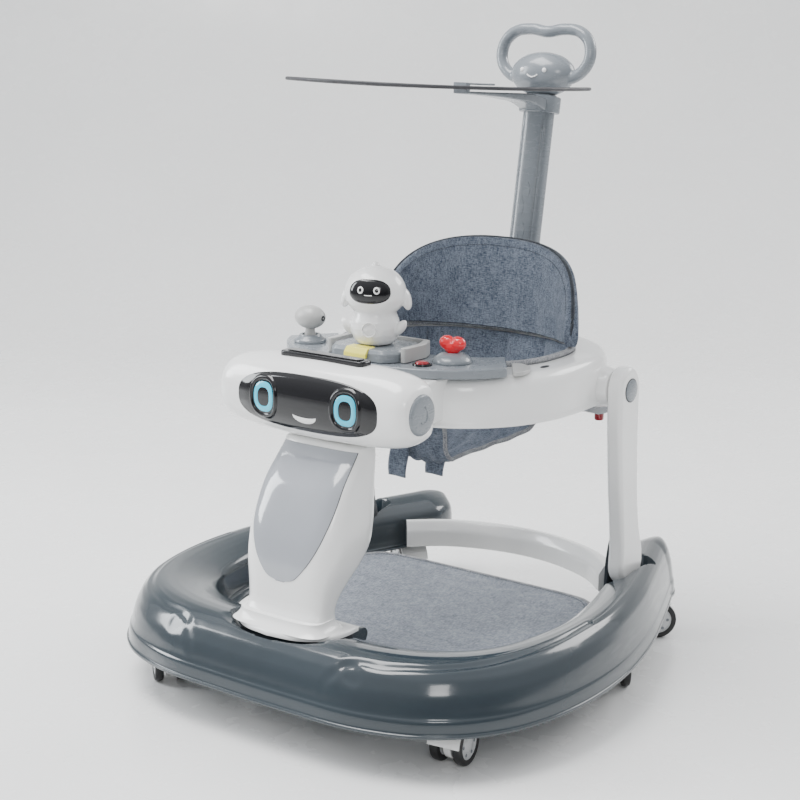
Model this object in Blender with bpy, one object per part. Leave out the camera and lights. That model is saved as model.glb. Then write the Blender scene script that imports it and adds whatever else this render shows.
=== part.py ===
"""Baby walker: rolling U base, folding column and legs, activity tray, seat and push handle.

Metres, +Z up, the front of the walker faces -Y. Lengths along Y are measured from the
working datum near the middle of the seat opening and moved by DATUM_Y at the end.
"""
import math

import bmesh
import bpy
from mathutils import Matrix, Vector

GAP = 0.0004
DATUM_Y = 0.0425
LIFT = 0.0085  # everything but the casters stands this much above its drawn height
SHARP_ANGLE = math.radians(32)
LEFT_RIGHT = (("left", -1), ("right", 1))

# Rolling base: half outlines from the front centre round to the arm end.
LIP_OUTLINE = (
    (0.0, -0.370), (0.060, -0.369), (0.120, -0.367), (0.168, -0.358), (0.216, -0.339),
    (0.257, -0.307), (0.288, -0.263), (0.306, -0.212), (0.315, -0.158), (0.317, -0.102),
    (0.313, -0.045), (0.302, 0.016), (0.285, 0.081), (0.265, 0.140), (0.245, 0.195),
    (0.228, 0.240),
)
INNER_OUTLINE = (
    (0.0, -0.235), (0.040, -0.235), (0.085, -0.233), (0.125, -0.227), (0.160, -0.213),
    (0.188, -0.191), (0.205, -0.163), (0.215, -0.130), (0.221, -0.095), (0.223, -0.060),
    (0.220, -0.020), (0.211, 0.025), (0.197, 0.080), (0.180, 0.132), (0.160, 0.183),
    (0.143, 0.228),
)
BASE_PROFILE = (
    (0.0, 0.0455), (0.0, 0.0530), (0.030, 0.0550), (0.035, 0.066), (0.070, 0.069), (0.085, 0.086),
    (0.16, 0.105), (0.28, 0.117), (0.40, 0.120), (0.58, 0.1160), (0.75, 0.1080), (0.87, 0.0970),
    (0.925, 0.0860), (0.955, 0.0605), (1.05, 0.0600), (1.05, 0.0565), (0.96, 0.0560),
)
CAVITY_PROFILE = (
    (0.0, 0.020), (0.0, 0.059), (0.055, 0.064), (0.085, 0.084), (0.17, 0.1015), (0.29, 0.1135),
    (0.40, 0.1165), (0.57, 0.111), (0.73, 0.0975), (0.86, 0.0785), (0.94, 0.0560), (0.95, 0.020),
)
CAVITY_INSET = 0.0062
BASE_WALL = 0.003
ARM_END_LENGTH = 0.05047
ARM_END_ANGLES = (25, 48, 66, 80)

# Casters: stem position, direction the wheels trail (degrees from +X).
CASTERS = (
    ("front_right", 0.217, -0.275, 97.0), ("front_left", -0.217, -0.275, -40.0),
    ("middle_right", 0.2570, 0.0300, 126.0), ("middle_left", -0.2570, 0.0300, 54.0),
    ("rear_right", 0.1980, 0.2250, 40.0), ("rear_left", -0.1980, 0.2250, 150.0),
)
WHEEL_RADIUS = 0.025
WHEEL_OFFSET = 0.0145
CASTER_TRAIL = 0.012
STEM_RADIUS = 0.0045
STEM_TOP = 0.084
BOSS_RADIUS = 0.0125
BOSS_BOTTOM = 0.0572
WHEEL_PROFILE = (
    (0.0045, -0.0054), (0.0232, -0.0058), (0.0250, -0.0040),
    (0.0250, 0.0040), (0.0232, 0.0058), (0.0045, 0.0054),
)

# Fold linkage pivots (y, z).
COLUMN_FOOT = (-0.205, 0.0845)
COLUMN_HEAD = (-0.226, 0.3160)
LEG_HEAD = (0.100, 0.3575)
LEG_FOOT = (0.121, 0.1260)
FOOT_PLATE_TOP = 0.120
FOOT_PLATE_BOTTOM = 0.0955
# The recess runs on behind the plate, so the plate can swing out of it.
RECESS_FRONT = -0.262
RECESS_REAR = -0.225
FOOT_PLATE = ((0.0, -0.334), (0.038, -0.328), (0.066, -0.309), (0.075, -0.285), (0.075, -0.258))
COLUMN_SECTIONS = (
    (0.1185, -0.2950, 0.0625, 0.0300), (0.1260, -0.2930, 0.0590, 0.0260),
    (0.1400, -0.2890, 0.0570, 0.0205), (0.1550, -0.2840, 0.0580, 0.0250),
    (0.1720, -0.2750, 0.0610, 0.0345), (0.1890, -0.2650, 0.0650, 0.0435),
    (0.2080, -0.2560, 0.0675, 0.0490), (0.2300, -0.2500, 0.0680, 0.0490),
    (0.2550, -0.2430, 0.0660, 0.0455), (0.2800, -0.2350, 0.0640, 0.0390),
    (0.3000, -0.2250, 0.0620, 0.0300), (0.3150, -0.2175, 0.0605, 0.0220),
    (0.3220, -0.2155, 0.0590, 0.0190), (0.3245, -0.2145, 0.0560, 0.0160),
)
COLUMN_EXPONENT = 4.0
PANEL_SECTIONS = (
    (0.1730, 0.0060), (0.1770, 0.0180), (0.1870, 0.0290), (0.2030, 0.0405), (0.2240, 0.0500),
    (0.2480, 0.0555), (0.2720, 0.0570), (0.2980, 0.0555), (0.3180, 0.0535),
)
LUG_X = (0.0300, 0.0360)

LEG_INNER_X = 0.206
LEG_OUTER_X = 0.228

# Tray.
RING_CENTRE_Y = 0.030
RING_HALF = (0.195, 0.190)
RING_BOTTOM = 0.338
RING_TOP = 0.398
OPENING_CENTRE_Y = 0.045
OPENING_HALF = (0.150, 0.125)
RING_EXPONENT = 2.4
FACE_SECTIONS = (
    (-0.1390, -0.2230, 0.0270, 0.0270), (-0.1355, -0.2230, 0.0325, 0.0325),
    (-0.1240, -0.2230, 0.0370, 0.0390), (-0.1020, -0.2225, 0.0400, 0.0435),
    (-0.0700, -0.2225, 0.0430, 0.0460), (-0.0350, -0.2225, 0.0445, 0.0470),
    (0.0, -0.2225, 0.0450, 0.0475),
)
FACE_CENTRE_Z = 0.3745
EAR = (-0.2260, 0.3745)
PANEL_HALF = (0.1010, 0.0295)
PANEL_Z = 0.3735
EYE_CENTRE = (0.0605, 0.3755)
EYE_HALF = (0.0150, 0.0178)
FACE_BACK_Y = -0.2035
CONSOLE_BOTTOM = 0.3984
CONSOLE_TOP = 0.4100
BLOCK_TOP = 0.4250
JOYSTICK = (-0.118, -0.108)
KNOB = (0.096, -0.103)
RED_BUTTON = (0.0785, -0.1400)
TOY = (0.0, -0.128)
TOY_HEADING = math.radians(22)
TOY_HEAD_Z = 0.4880
VISOR_UP = 0.62
VISOR_HALF = (0.98, 0.54)

# Push pole, handle and canopy.
POLE_FOOT = (0.0, 0.1775, 0.3460)
POLE_LEAN = math.radians(9.7)
POLE_LENGTH = 0.378
POLE_HALF = (0.0215, 0.0130)
CANOPY_CENTRE_Y = -0.006
CANOPY_HALF = (0.185, 0.213)
CANOPY_Z = 0.728
CANOPY_SLOPE = -0.050
HOOP_RADIUS = 0.0018


def clear_scene():
    for obj in list(bpy.data.objects):
        bpy.data.objects.remove(obj, do_unlink=True)


def material(name, color, roughness):
    mat = bpy.data.materials.new(name)
    mat.use_nodes = True
    shader = mat.node_tree.nodes["Principled BSDF"]
    shader.inputs["Base Color"].default_value = (*color, 1.0)
    shader.inputs["Roughness"].default_value = roughness
    return mat


def raw_object(verts, faces):
    mesh = bpy.data.meshes.new("work")
    mesh.from_pydata([tuple(v) for v in verts], [], faces)
    work = bmesh.new()
    work.from_mesh(mesh)
    bmesh.ops.recalc_face_normals(work, faces=work.faces)
    if work.calc_volume(signed=True) < 0:
        bmesh.ops.reverse_faces(work, faces=work.faces)
    work.to_mesh(mesh)
    work.free()
    obj = bpy.data.objects.new("work", mesh)
    bpy.context.scene.collection.objects.link(obj)
    return obj


def combine(target, others, operation):
    for other in others:
        mod = target.modifiers.new("combine", "BOOLEAN")
        mod.operation = operation
        mod.solver = "EXACT"
        mod.object = other
    bpy.context.view_layer.update()
    graph = bpy.context.evaluated_depsgraph_get()
    mesh = bpy.data.meshes.new_from_object(target.evaluated_get(graph))
    target.modifiers.clear()
    target.data = mesh
    for other in others:
        bpy.data.objects.remove(other, do_unlink=True)
    return target


def union(target, *others):
    return combine(target, others, "UNION")


def subtract(target, *others):
    return combine(target, others, "DIFFERENCE")


def deliver(obj, name, mat, origin=(0.0, 0.0, 0.0)):
    work = bmesh.new()
    work.from_mesh(obj.data)
    bmesh.ops.remove_doubles(work, verts=work.verts, dist=1e-6)
    bmesh.ops.dissolve_degenerate(work, dist=1e-6, edges=work.edges)
    bmesh.ops.triangulate(work, faces=[face for face in work.faces if len(face.verts) > 4])
    bmesh.ops.translate(work, verts=work.verts, vec=-Vector(origin))
    work.to_mesh(obj.data)
    work.free()
    obj.name = name
    obj.data.name = name
    rise = 0.0 if name.startswith("caster") else LIFT
    obj.location = Vector(origin) + Vector((0.0, DATUM_Y, rise))
    obj.data.materials.clear()
    obj.data.materials.append(mat)
    for face in obj.data.polygons:
        face.use_smooth = True
    obj.data.set_sharp_from_angle(angle=SHARP_ANGLE)
    return obj


def loft(sections, closed=False):
    count = len(sections[0])
    verts = [point for section in sections for point in section]
    faces = []
    spans = len(sections) if closed else len(sections) - 1
    for i in range(spans):
        low = i * count
        high = ((i + 1) % len(sections)) * count
        for j in range(count):
            k = (j + 1) % count
            faces.append((low + j, low + k, high + k, high + j))
    if not closed:
        faces.append(tuple(range(count)))
        faces.append(tuple(range(len(verts) - count, len(verts))))
    return raw_object(verts, faces)


def box(x_range, y_range, z_range):
    corners = [(x, y) for x, y in ((0, 0), (1, 0), (1, 1), (0, 1))]
    return loft([[(x_range[x], y_range[y], z) for x, y in corners] for z in z_range])


def cylinder(start, end, radius, segments=20, end_radius=None):
    start = Vector(start)
    end = Vector(end)
    turn = (end - start).to_track_quat("Z", "Y").to_matrix()
    rings = []
    for centre, size in ((start, radius), (end, end_radius or radius)):
        ring = []
        for i in range(segments):
            angle = 2 * math.pi * i / segments
            ring.append(centre + turn @ Vector((size * math.cos(angle), size * math.sin(angle), 0)))
        rings.append(ring)
    return loft(rings)


def revolve(profile, centre, segments, turn=None, scale=(1.0, 1.0, 1.0)):
    turn = turn or Matrix.Identity(3)
    rings = []
    for i in range(segments):
        angle = 2 * math.pi * i / segments
        ring = []
        for radius, height in profile:
            local = Vector((radius * math.cos(angle), radius * math.sin(angle), height))
            local = Vector((local.x * scale[0], local.y * scale[1], local.z * scale[2]))
            ring.append(Vector(centre) + turn @ local)
        rings.append(ring)
    return loft(rings, closed=True)


def turned(profile, centre, segments, scale=(1.0, 1.0)):
    """Solid of revolution about Z; the profile runs bottom to top and never touches the axis."""
    sections = []
    for radius, height in profile:
        ring = []
        for i in range(segments):
            angle = 2 * math.pi * i / segments
            ring.append((centre[0] + scale[0] * radius * math.cos(angle),
                         centre[1] + scale[1] * radius * math.sin(angle),
                         centre[2] + height))
        sections.append(ring)
    return loft(sections)


def ellipsoid(centre, radii, segments=20, rings=10, turn=None):
    turn = turn or Matrix.Identity(3)
    sections = []
    for i in range(1, rings):
        polar = math.pi * i / rings
        ring = []
        for j in range(segments):
            angle = 2 * math.pi * j / segments
            local = Vector((radii[0] * math.sin(polar) * math.cos(angle),
                            radii[1] * math.sin(polar) * math.sin(angle),
                            -radii[2] * math.cos(polar)))
            ring.append(Vector(centre) + turn @ local)
        sections.append(ring)
    return loft(sections)


def tube(path, radius, segments=10, closed=False, flat=1.0):
    sections = []
    count = len(path)
    for i, point in enumerate(path):
        before = path[(i - 1) % count] if closed or i else path[0]
        after = path[(i + 1) % count] if closed or i < count - 1 else path[-1]
        forward = (Vector(after) - Vector(before)).normalized()
        side = forward.cross(Vector((0.0, -math.sin(POLE_LEAN), -1.0))).normalized()
        if side.length < 0.5:
            side = Vector((1.0, 0.0, 0.0))
        up = side.cross(forward).normalized()
        ring = []
        for j in range(segments):
            angle = 2 * math.pi * j / segments
            ring.append(Vector(point) + side * (radius * flat * math.cos(angle))
                        + up * (radius * math.sin(angle)))
        sections.append(ring)
    return loft(sections, closed=closed)


def prism(outline, z_low, z_high, chamfer=0.0):
    """Upright prism; the top edge is taken in by the chamfer."""
    sections = [[(x, y, z_low) for x, y in outline], [(x, y, z_high - chamfer) for x, y in outline]]
    if chamfer:
        sections.append([(x, y, z_high) for x, y in inset(outline, chamfer)])
    return loft(sections)


def side_prism(outline, x_low, x_high):
    return loft([[(x, y, z) for y, z in outline] for x in (x_low, x_high)])


def inset(outline, distance):
    points = [Vector(point) for point in outline]
    area = sum(a.x * b.y - b.x * a.y for a, b in zip(points, points[1:] + points[:1]))
    sign = 1.0 if area > 0 else -1.0
    moved = []
    for i, point in enumerate(points):
        before = (point - points[i - 1]).normalized()
        after = (points[(i + 1) % len(points)] - point).normalized()
        normal = Vector((-(before.y + after.y), before.x + after.x)) * sign
        normal = normal / max(normal.length * normal.length / 2.0, 0.4) if normal.length else normal
        moved.append(tuple(point + normal * distance))
    return moved


def smooth_line(points, steps):
    """Catmull-Rom line through the points."""
    points = [Vector(point) for point in points]
    padded = [2 * points[0] - points[1]] + points + [2 * points[-1] - points[-2]]
    line = []
    for i in range(1, len(padded) - 2):
        a, b, c, d = padded[i - 1:i + 3]
        for step in range(steps):
            t = step / steps
            line.append(0.5 * (2 * b + (c - a) * t + (2 * a - 5 * b + 4 * c - d) * t * t
                               + (3 * b - a - 3 * c + d) * t ** 3))
    line.append(points[-1])
    return line


def mirrored(half):
    """Full outline from a half outline that starts on the centre line."""
    return [(x, y) for x, y in half] + [(-x, y) for x, y in reversed(half) if abs(x) > 1e-9]


def super_ring(centre, half, exponent, z, segments):
    ring = []
    for i in range(segments):
        angle = 2 * math.pi * i / segments
        c = math.cos(angle)
        s = math.sin(angle)
        ring.append((centre[0] + half[0] * math.copysign(abs(c) ** (2 / exponent), c),
                     centre[1] + half[1] * math.copysign(abs(s) ** (2 / exponent), s), z))
    return ring


def rounded_box(x_range, y_range, z_range, chamfer):
    outline = [(x_range[0], y_range[0]), (x_range[1], y_range[0]),
               (x_range[1], y_range[1]), (x_range[0], y_range[1])]
    corners = []
    for i, point in enumerate(outline):
        here = Vector(point)
        before = (Vector(outline[i - 1]) - here).normalized()
        after = (Vector(outline[(i + 1) % 4]) - here).normalized()
        corners.append(tuple(here + before * chamfer))
        corners.append(tuple(here + after * chamfer))
    return prism(corners, z_range[0], z_range[1], chamfer * 0.6)


def base_stations(lip_inset, inner_inset, end_inset):
    half_lip = smooth_line(LIP_OUTLINE, 1)
    half_inner = smooth_line(INNER_OUTLINE, 1)
    stations = []
    for lip, inner in zip(half_lip, half_inner):
        across = (inner - lip).normalized()
        stations.append((lip + across * lip_inset, inner - across * inner_inset, 1.0))
    lip, inner, _ = stations[-1]
    middle = (lip + inner) / 2
    across = (inner - lip) / 2
    forward = Vector((-across.y, across.x)).normalized()
    forward = forward if forward.y > 0 else -forward
    for degrees in ARM_END_ANGLES:
        angle = math.radians(degrees)
        centre = middle + forward * ((ARM_END_LENGTH - end_inset) * math.sin(angle))
        half = across * (0.15 + 0.85 * math.cos(angle))
        stations.append((centre - half, centre + half, 1.0 - 0.16 * (1 - math.cos(angle))))
    flipped = [(Vector((-a.x, a.y)), Vector((-b.x, b.y)), top) for a, b, top in stations[1:]]
    return list(reversed(flipped)) + stations


def base_loft(profile, lip_inset, inner_inset, end_inset):
    floor = profile[0][1]
    sections = []
    for lip, inner, top in base_stations(lip_inset, inner_inset, end_inset):
        section = []
        for share, height in profile:
            spot = lip + (inner - lip) * share
            section.append((spot.x, spot.y, floor + (height - floor) * top))
        sections.append(section)
    return loft(sections)


def foot_recess(margin):
    plate = inset(mirrored(FOOT_PLATE), -(GAP + margin))
    longer = [(x, RECESS_REAR + margin if y > RECESS_FRONT else y) for x, y in plate]
    seat = prism(longer, FOOT_PLATE_BOTTOM - GAP - margin, 0.16)
    web = box((-0.0345 - margin, 0.0345 + margin), (-0.290, -0.200), (0.0745 - margin, 0.16))
    return seat, web


def front_valley(margin):
    return ellipsoid((0.0, -0.322, 0.142),
                     (0.116 + margin, 0.040 + margin, 0.040 + margin), segments=24, rings=12)


def leg_slot(side):
    return box(sorted((side * (LEG_INNER_X - 0.0022), side * (LEG_OUTER_X + 0.003))),
               (LEG_FOOT[0] - 0.0315, LEG_FOOT[0] + 0.0520), (0.0600, 0.1600))


def pivot_lug(side):
    y, z = COLUMN_FOOT
    outline = [(-0.262, 0.0600), (-0.2260, 0.0600), (-0.2200, 0.0720), (y + 0.0060, 0.0740),
               (y + 0.0100, z), (y + 0.0050, z + 0.0085), (y - 0.0050, z + 0.0095),
               (-0.262, z + 0.0020)]
    return side_prism(outline, *sorted((side * 0.0362, side * 0.0418)))


def leg_fin(side):
    y, z = LEG_FOOT
    outline = [(y - 0.0200, 0.0680), (y + 0.0200, 0.0680), (y + 0.0185, z - 0.0150),
               (y + 0.0130, z + 0.0080), (y + 0.0020, z + 0.0260), (y - 0.0050, z + 0.0300),
               (y - 0.0110, z + 0.0220), (y - 0.0165, z)]
    return side_prism(outline, *sorted((side * 0.1975, side * (LEG_INNER_X - 0.0028))))


def cross_bar_body(margin):
    reach = 0.166 + margin
    path = smooth_line([(-reach, 0.168 - margin), (-0.120, 0.206), (-0.060, 0.230), (0.0, 0.238),
                        (0.060, 0.230), (0.120, 0.206), (reach, 0.168 - margin)], 4)
    sections = []
    for i, point in enumerate(path):
        ahead = path[min(i + 1, len(path) - 1)] - path[max(i - 1, 0)]
        normal = Vector((-ahead.y, ahead.x)).normalized()
        front = point - normal * (0.012 + margin)
        back = point + normal * (0.012 + margin)
        crown = point - normal * 0.003
        sections.append([(front.x, front.y, 0.0600 - margin), (back.x, back.y, 0.0600 - margin),
                         (back.x, back.y, 0.0960 + margin), (crown.x, crown.y, 0.0990 + margin),
                         (front.x, front.y, 0.0850 + margin)])
    return loft(sections)


def build_base(plastic):
    shell = subtract(base_loft(BASE_PROFILE, 0.0, 0.0, 0.0), *foot_recess(0.0), front_valley(0.0))
    cavity = base_loft(CAVITY_PROFILE, CAVITY_INSET, BASE_WALL, CAVITY_INSET)
    posts = [cylinder((x, y, BOSS_BOTTOM), (x, y, 0.14), BOSS_RADIUS) for _, x, y, _ in CASTERS]
    cavity = subtract(cavity, *foot_recess(BASE_WALL), front_valley(BASE_WALL), *posts)
    shell = subtract(shell, cavity)
    shell = union(shell, *[pivot_lug(side) for _, side in LEFT_RIGHT],
                  *[leg_fin(side) for _, side in LEFT_RIGHT])
    tools = [cylinder((x, y, 0.050), (x, y, STEM_TOP + 0.003), STEM_RADIUS + GAP)
             for _, x, y, _ in CASTERS]
    tools += [leg_slot(side) for _, side in LEFT_RIGHT]
    tools.append(cross_bar_body(GAP))
    y, z = COLUMN_FOOT
    tools.append(cylinder((-0.0445, y, z), (0.0445, y, z), 0.0040 + GAP))
    y, z = LEG_FOOT
    tools.append(cylinder((-0.2040, y, z), (0.2040, y, z), 0.0050 + GAP))
    deliver(subtract(shell, *tools), "base_shell", plastic)


def build_cross_bar(plastic):
    deliver(cross_bar_body(0.0), "rear_cross_bar", plastic)


def build_mat(fabric):
    half = [(0.0, -0.214), (0.070, -0.214), (0.115, -0.206), (0.155, -0.186), (0.186, -0.152),
            (0.206, -0.105), (0.215, -0.055), (0.2135, -0.010), (0.205, 0.035), (0.193, 0.075),
            (0.182, 0.100), (0.163, 0.116), (0.130, 0.122), (0.060, 0.123), (0.0, 0.123)]
    deliver(prism(mirrored(half), 0.0604, 0.0632, 0.0008), "foot_mat", fabric)


def caster_hood():
    t = CASTER_TRAIL
    r = WHEEL_RADIUS
    plate = cylinder((t, -0.0055, r), (t, 0.0055, r), 0.0195, 12)
    neck = box((-0.0075, t), (-0.0055, 0.0055), (0.032, 0.0548 + LIFT))
    arc = []
    for degrees in range(54, 175, 24):
        arc.append((degrees, r + 0.0042))
    for degrees in range(174, 53, -24):
        arc.append((degrees, r + 0.0018))
    fender = []
    for degrees, radius in arc:
        angle = math.radians(degrees)
        fender.append((t + radius * math.cos(angle), r + radius * math.sin(angle)))
    shade = loft([[(x, y, z) for x, z in fender] for y in (-0.0200, 0.0200)])
    axle = cylinder((t, -0.0196, r), (t, 0.0196, r), 0.0041, 8)
    disc = cylinder((0, 0, 0.0535 + LIFT), (0, 0, 0.0563 + LIFT), 0.0095, 12)
    stem = cylinder((0, 0, 0.050), (0, 0, STEM_TOP + LIFT), STEM_RADIUS, 10)
    return union(plate, neck, shade, axle, disc, stem)


def build_casters(white, tyre):
    across = Matrix.Rotation(math.radians(-90), 3, "X")
    for label, x, y, heading in CASTERS:
        turn = Matrix.Rotation(math.radians(heading), 4, "Z")
        place = Matrix.Translation((x, y, 0.0)) @ turn
        hood = caster_hood()
        hood.data.transform(place)
        deliver(hood, f"caster_{label}_hood", white, (x, y, STEM_TOP + LIFT))
        for tag, offset in (("a", -WHEEL_OFFSET), ("b", WHEEL_OFFSET)):
            wheel = revolve(WHEEL_PROFILE, (0, 0, 0), 16, across)
            wheel.data.transform(place @ Matrix.Translation((CASTER_TRAIL, offset, WHEEL_RADIUS)))
            centre = place @ Vector((CASTER_TRAIL, offset, WHEEL_RADIUS))
            deliver(wheel, f"caster_{label}_wheel_{tag}", tyre, centre)


def column_ring(z, centre_y, half_x, half_y):
    return super_ring((0.0, centre_y), (half_x, half_y), COLUMN_EXPONENT, z, 24)


def column_at(z):
    for low, high in zip(COLUMN_SECTIONS, COLUMN_SECTIONS[1:]):
        if low[0] <= z <= high[0]:
            share = (z - low[0]) / (high[0] - low[0])
            return [a + (b - a) * share for a, b in zip(low, high)]
    return list(COLUMN_SECTIONS[-1])


def column_front(x, z):
    _, centre_y, half_x, half_y = column_at(z)
    reach = max(0.0, 1.0 - (abs(x) / half_x) ** COLUMN_EXPONENT) ** (1.0 / COLUMN_EXPONENT)
    return centre_y - half_y * reach


def panel_solid(depth, proud, margin):
    sections = []
    for z, half in PANEL_SECTIONS:
        half = half + margin
        front = []
        back = []
        for i in range(7):
            x = half * (i / 3.0 - 1.0)
            y = column_front(x, z)
            front.append((x, y - proud, z))
            back.append((x, y + depth, z))
        sections.append(front + list(reversed(back)))
    if margin:
        low = [(x, y + 0.0008, z - margin) for x, y, z in sections[0]]
        high = [(x, y - 0.0010, z + margin) for x, y, z in sections[-1]]
        sections = [low] + sections + [high]
    return loft(sections)


def build_column(white, grey):
    y, z = COLUMN_FOOT
    head_y, head_z = COLUMN_HEAD
    body = loft([column_ring(*section) for section in COLUMN_SECTIONS])
    plate = prism(mirrored(FOOT_PLATE), FOOT_PLATE_BOTTOM, FOOT_PLATE_TOP, 0.0015)
    web = side_prism([(-0.285, 0.0980), (-0.285, 0.0880), (-0.268, 0.0770), (y, z - 0.0075),
                      (y, z + 0.0080), (-0.250, 0.0980)], -0.0300, 0.0300)
    barrel = cylinder((-0.0355, y, z), (0.0355, y, z), 0.0085)
    pin = cylinder((-0.0410, y, z), (0.0410, y, z), 0.0040, 16)
    body = union(body, plate, web, barrel, pin)
    slots = []
    for _, side in LEFT_RIGHT:
        xs = sorted((side * (LUG_X[0] - 0.0008), side * (LUG_X[1] + 0.0008)))
        slots.append(box(xs, (head_y - 0.0075, head_y + 0.0200), (head_z - 0.0075, 0.3300)))
    head_pin = cylinder((-0.0400, head_y, head_z), (0.0400, head_y, head_z), 0.0026, 12)
    body = union(subtract(body, *slots), head_pin)
    body = subtract(body, panel_solid(0.0026 + GAP, 0.004, GAP))
    deliver(body, "front_column", white, (0.0, y, z))
    deliver(panel_solid(0.0026, 0.0006, 0.0), "column_panel", grey, (0.0, y, z))


def leg_outline():
    y, z = LEG_HEAD
    low_y, low_z = LEG_FOOT
    outline = []
    for i in range(13):
        angle = math.radians(180 - 15 * i)
        outline.append((y + 0.0250 * math.cos(angle), z + 0.0290 * math.sin(angle)))
    outline += [(y + 0.0255, 0.310), (y + 0.0275, 0.260), (y + 0.0320, 0.210),
                (y + 0.0390, 0.170), (low_y + 0.0265, 0.145)]
    for degrees in (0, -35, -70, -110, -145, -180):
        angle = math.radians(degrees)
        outline.append((low_y + 0.0290 * math.cos(angle), low_z + 0.0290 * math.sin(angle)))
    outline += [(low_y - 0.0275, 0.150), (y - 0.0090, 0.180), (y - 0.0145, 0.220),
                (y - 0.0195, 0.265), (y - 0.0235, 0.310)]
    return outline


def build_legs(white, grey):
    y, z = LEG_HEAD
    low_y, low_z = LEG_FOOT
    outline = leg_outline()
    for label, side in LEFT_RIGHT:
        inner = side * LEG_INNER_X
        outer = side * LEG_OUTER_X
        soft = inset(outline, 0.004)
        leg = loft([[(x, a, b) for a, b in ring] for x, ring in (
            (inner, outline), (outer - side * 0.005, outline), (outer, soft))])
        stub = cylinder((inner + side * 0.004, low_y, low_z), (side * 0.1990, low_y, low_z), 0.005, 16)
        leg = union(leg, stub)
        leg = subtract(leg, cylinder((side * 0.190, y, z), (side * 0.240, y, z), 0.0060 + GAP),
                       cylinder((outer - side * 0.0015, y, z), (side * 0.240, y, z), 0.0145 + GAP))
        deliver(leg, f"rear_leg_{label}", white, (side * 0.217, y, z))
        cap = union(cylinder((side * 0.1900, y, z), (outer, y, z), 0.0060),
                    cylinder((outer - side * 0.0011, y, z), (side * 0.2300, y, z), 0.0145, 24))
        deliver(cap, f"leg_cap_{label}", grey, (side * 0.217, y, z))


def build_ring(white):
    outer = []
    for z, grow in ((RING_BOTTOM, -0.0010), (RING_BOTTOM + 0.003, 0.0), (0.372, 0.0),
                    (0.388, -0.0025), (0.3955, -0.0080), (RING_TOP, -0.0160)):
        half = (RING_HALF[0] + grow, RING_HALF[1] + grow)
        outer.append(super_ring((0.0, RING_CENTRE_Y), half, RING_EXPONENT, z, 40))
    body = loft(outer)
    bridge = rounded_box((-0.108, 0.108), (-0.2030, -0.100), (0.3460, RING_TOP), 0.004)
    bosses = []
    for _, side in LEFT_RIGHT:
        y, z = LEG_HEAD
        bosses.append(cylinder((side * 0.1840, y, z), (side * 0.2048, y, z), 0.0285, 24))
    body = union(body, bridge, *bosses)
    hole = loft([super_ring((0.0, OPENING_CENTRE_Y), OPENING_HALF, RING_EXPONENT, z, 40)
                 for z in (0.300, 0.430)])
    room = loft([super_ring((0.0, RING_CENTRE_Y), (RING_HALF[0] - 0.0035, RING_HALF[1] - 0.0035),
                            RING_EXPONENT, z, 40) for z in (0.300, 0.378)]
                + [super_ring((0.0, RING_CENTRE_Y), (RING_HALF[0] - 0.013, RING_HALF[1] - 0.013),
                              RING_EXPONENT, 0.394, 40)])
    wall = loft([super_ring((0.0, OPENING_CENTRE_Y),
                            (OPENING_HALF[0] + 0.003, OPENING_HALF[1] + 0.003),
                            RING_EXPONENT, z, 40) for z in (RING_BOTTOM, 0.430)])
    socket = pole_body(-0.004, POLE_LENGTH, 0.0035, extend=0.012)
    lugs = []
    pins = []
    for _, side in LEFT_RIGHT:
        y, z = LEG_HEAD
        lugs.append(cylinder((side * 0.1780, y, z), (side * 0.2100, y, z), 0.0130, 20))
        pins.append(cylinder((side * 0.1885, y, z), (side * 0.2100, y, z), 0.0060 + GAP, 20))
    room = subtract(room, wall, socket, *lugs)
    body = subtract(body, room)
    body = subtract(body, hole, pole_body(-0.0004, POLE_LENGTH, GAP, extend=0.0), *pins)
    deliver(body, "tray_ring", white)


def face_section(x, centre_y, half_y, half_z):
    ring = []
    for i in range(24):
        angle = 2 * math.pi * i / 24
        c = math.cos(angle)
        s = math.sin(angle)
        ring.append((x, centre_y + half_y * math.copysign(abs(c) ** 0.80, c),
                     FACE_CENTRE_Z + half_z * math.copysign(abs(s) ** 0.88, s)))
    return ring


def face_front(x, z):
    """Y of the face housing surface at this place."""
    x = -abs(x)
    for low, high in zip(FACE_SECTIONS, FACE_SECTIONS[1:]):
        if low[0] <= x <= high[0]:
            share = (x - low[0]) / (high[0] - low[0])
            _, centre_y, half_y, half_z = [a + (b - a) * share for a, b in zip(low, high)]
    lift = min(1.0, abs(z - FACE_CENTRE_Z) / half_z) ** (1 / 0.88)
    return centre_y - half_y * math.sqrt(max(0.0, 1.0 - lift * lift)) ** 0.80


def face_patch(outline, depth, proud):
    """Thin plate that follows the housing front; the outline is a list of (x, z) rings."""
    verts = []
    faces = []
    rings = 3
    count = len(outline)
    centre = (sum(p[0] for p in outline) / count, sum(p[1] for p in outline) / count)
    for shift in (-proud, depth):
        start = len(verts)
        verts.append((centre[0], face_front(*centre) + shift, centre[1]))
        for k in range(1, rings + 1):
            for px, pz in outline:
                x = centre[0] + (px - centre[0]) * k / rings
                z = centre[1] + (pz - centre[1]) * k / rings
                verts.append((x, face_front(x, z) + shift, z))
        for j in range(count):
            n = (j + 1) % count
            faces.append((start, start + 1 + j, start + 1 + n))
            for k in range(rings - 1):
                low = start + 1 + k * count
                faces.append((low + j, low + count + j, low + count + n, low + n))
    size = 1 + rings * count
    rim = 1 + (rings - 1) * count
    for j in range(count):
        n = (j + 1) % count
        faces.append((rim + j, rim + n, size + rim + n, size + rim + j))
    return raw_object(verts, faces)


def oval(centre, half, exponent, count, margin=0.0):
    ring = super_ring(centre, (half[0] + margin, half[1] + margin), exponent, 0.0, count)
    return [(x, z) for x, z, _ in ring]


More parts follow.
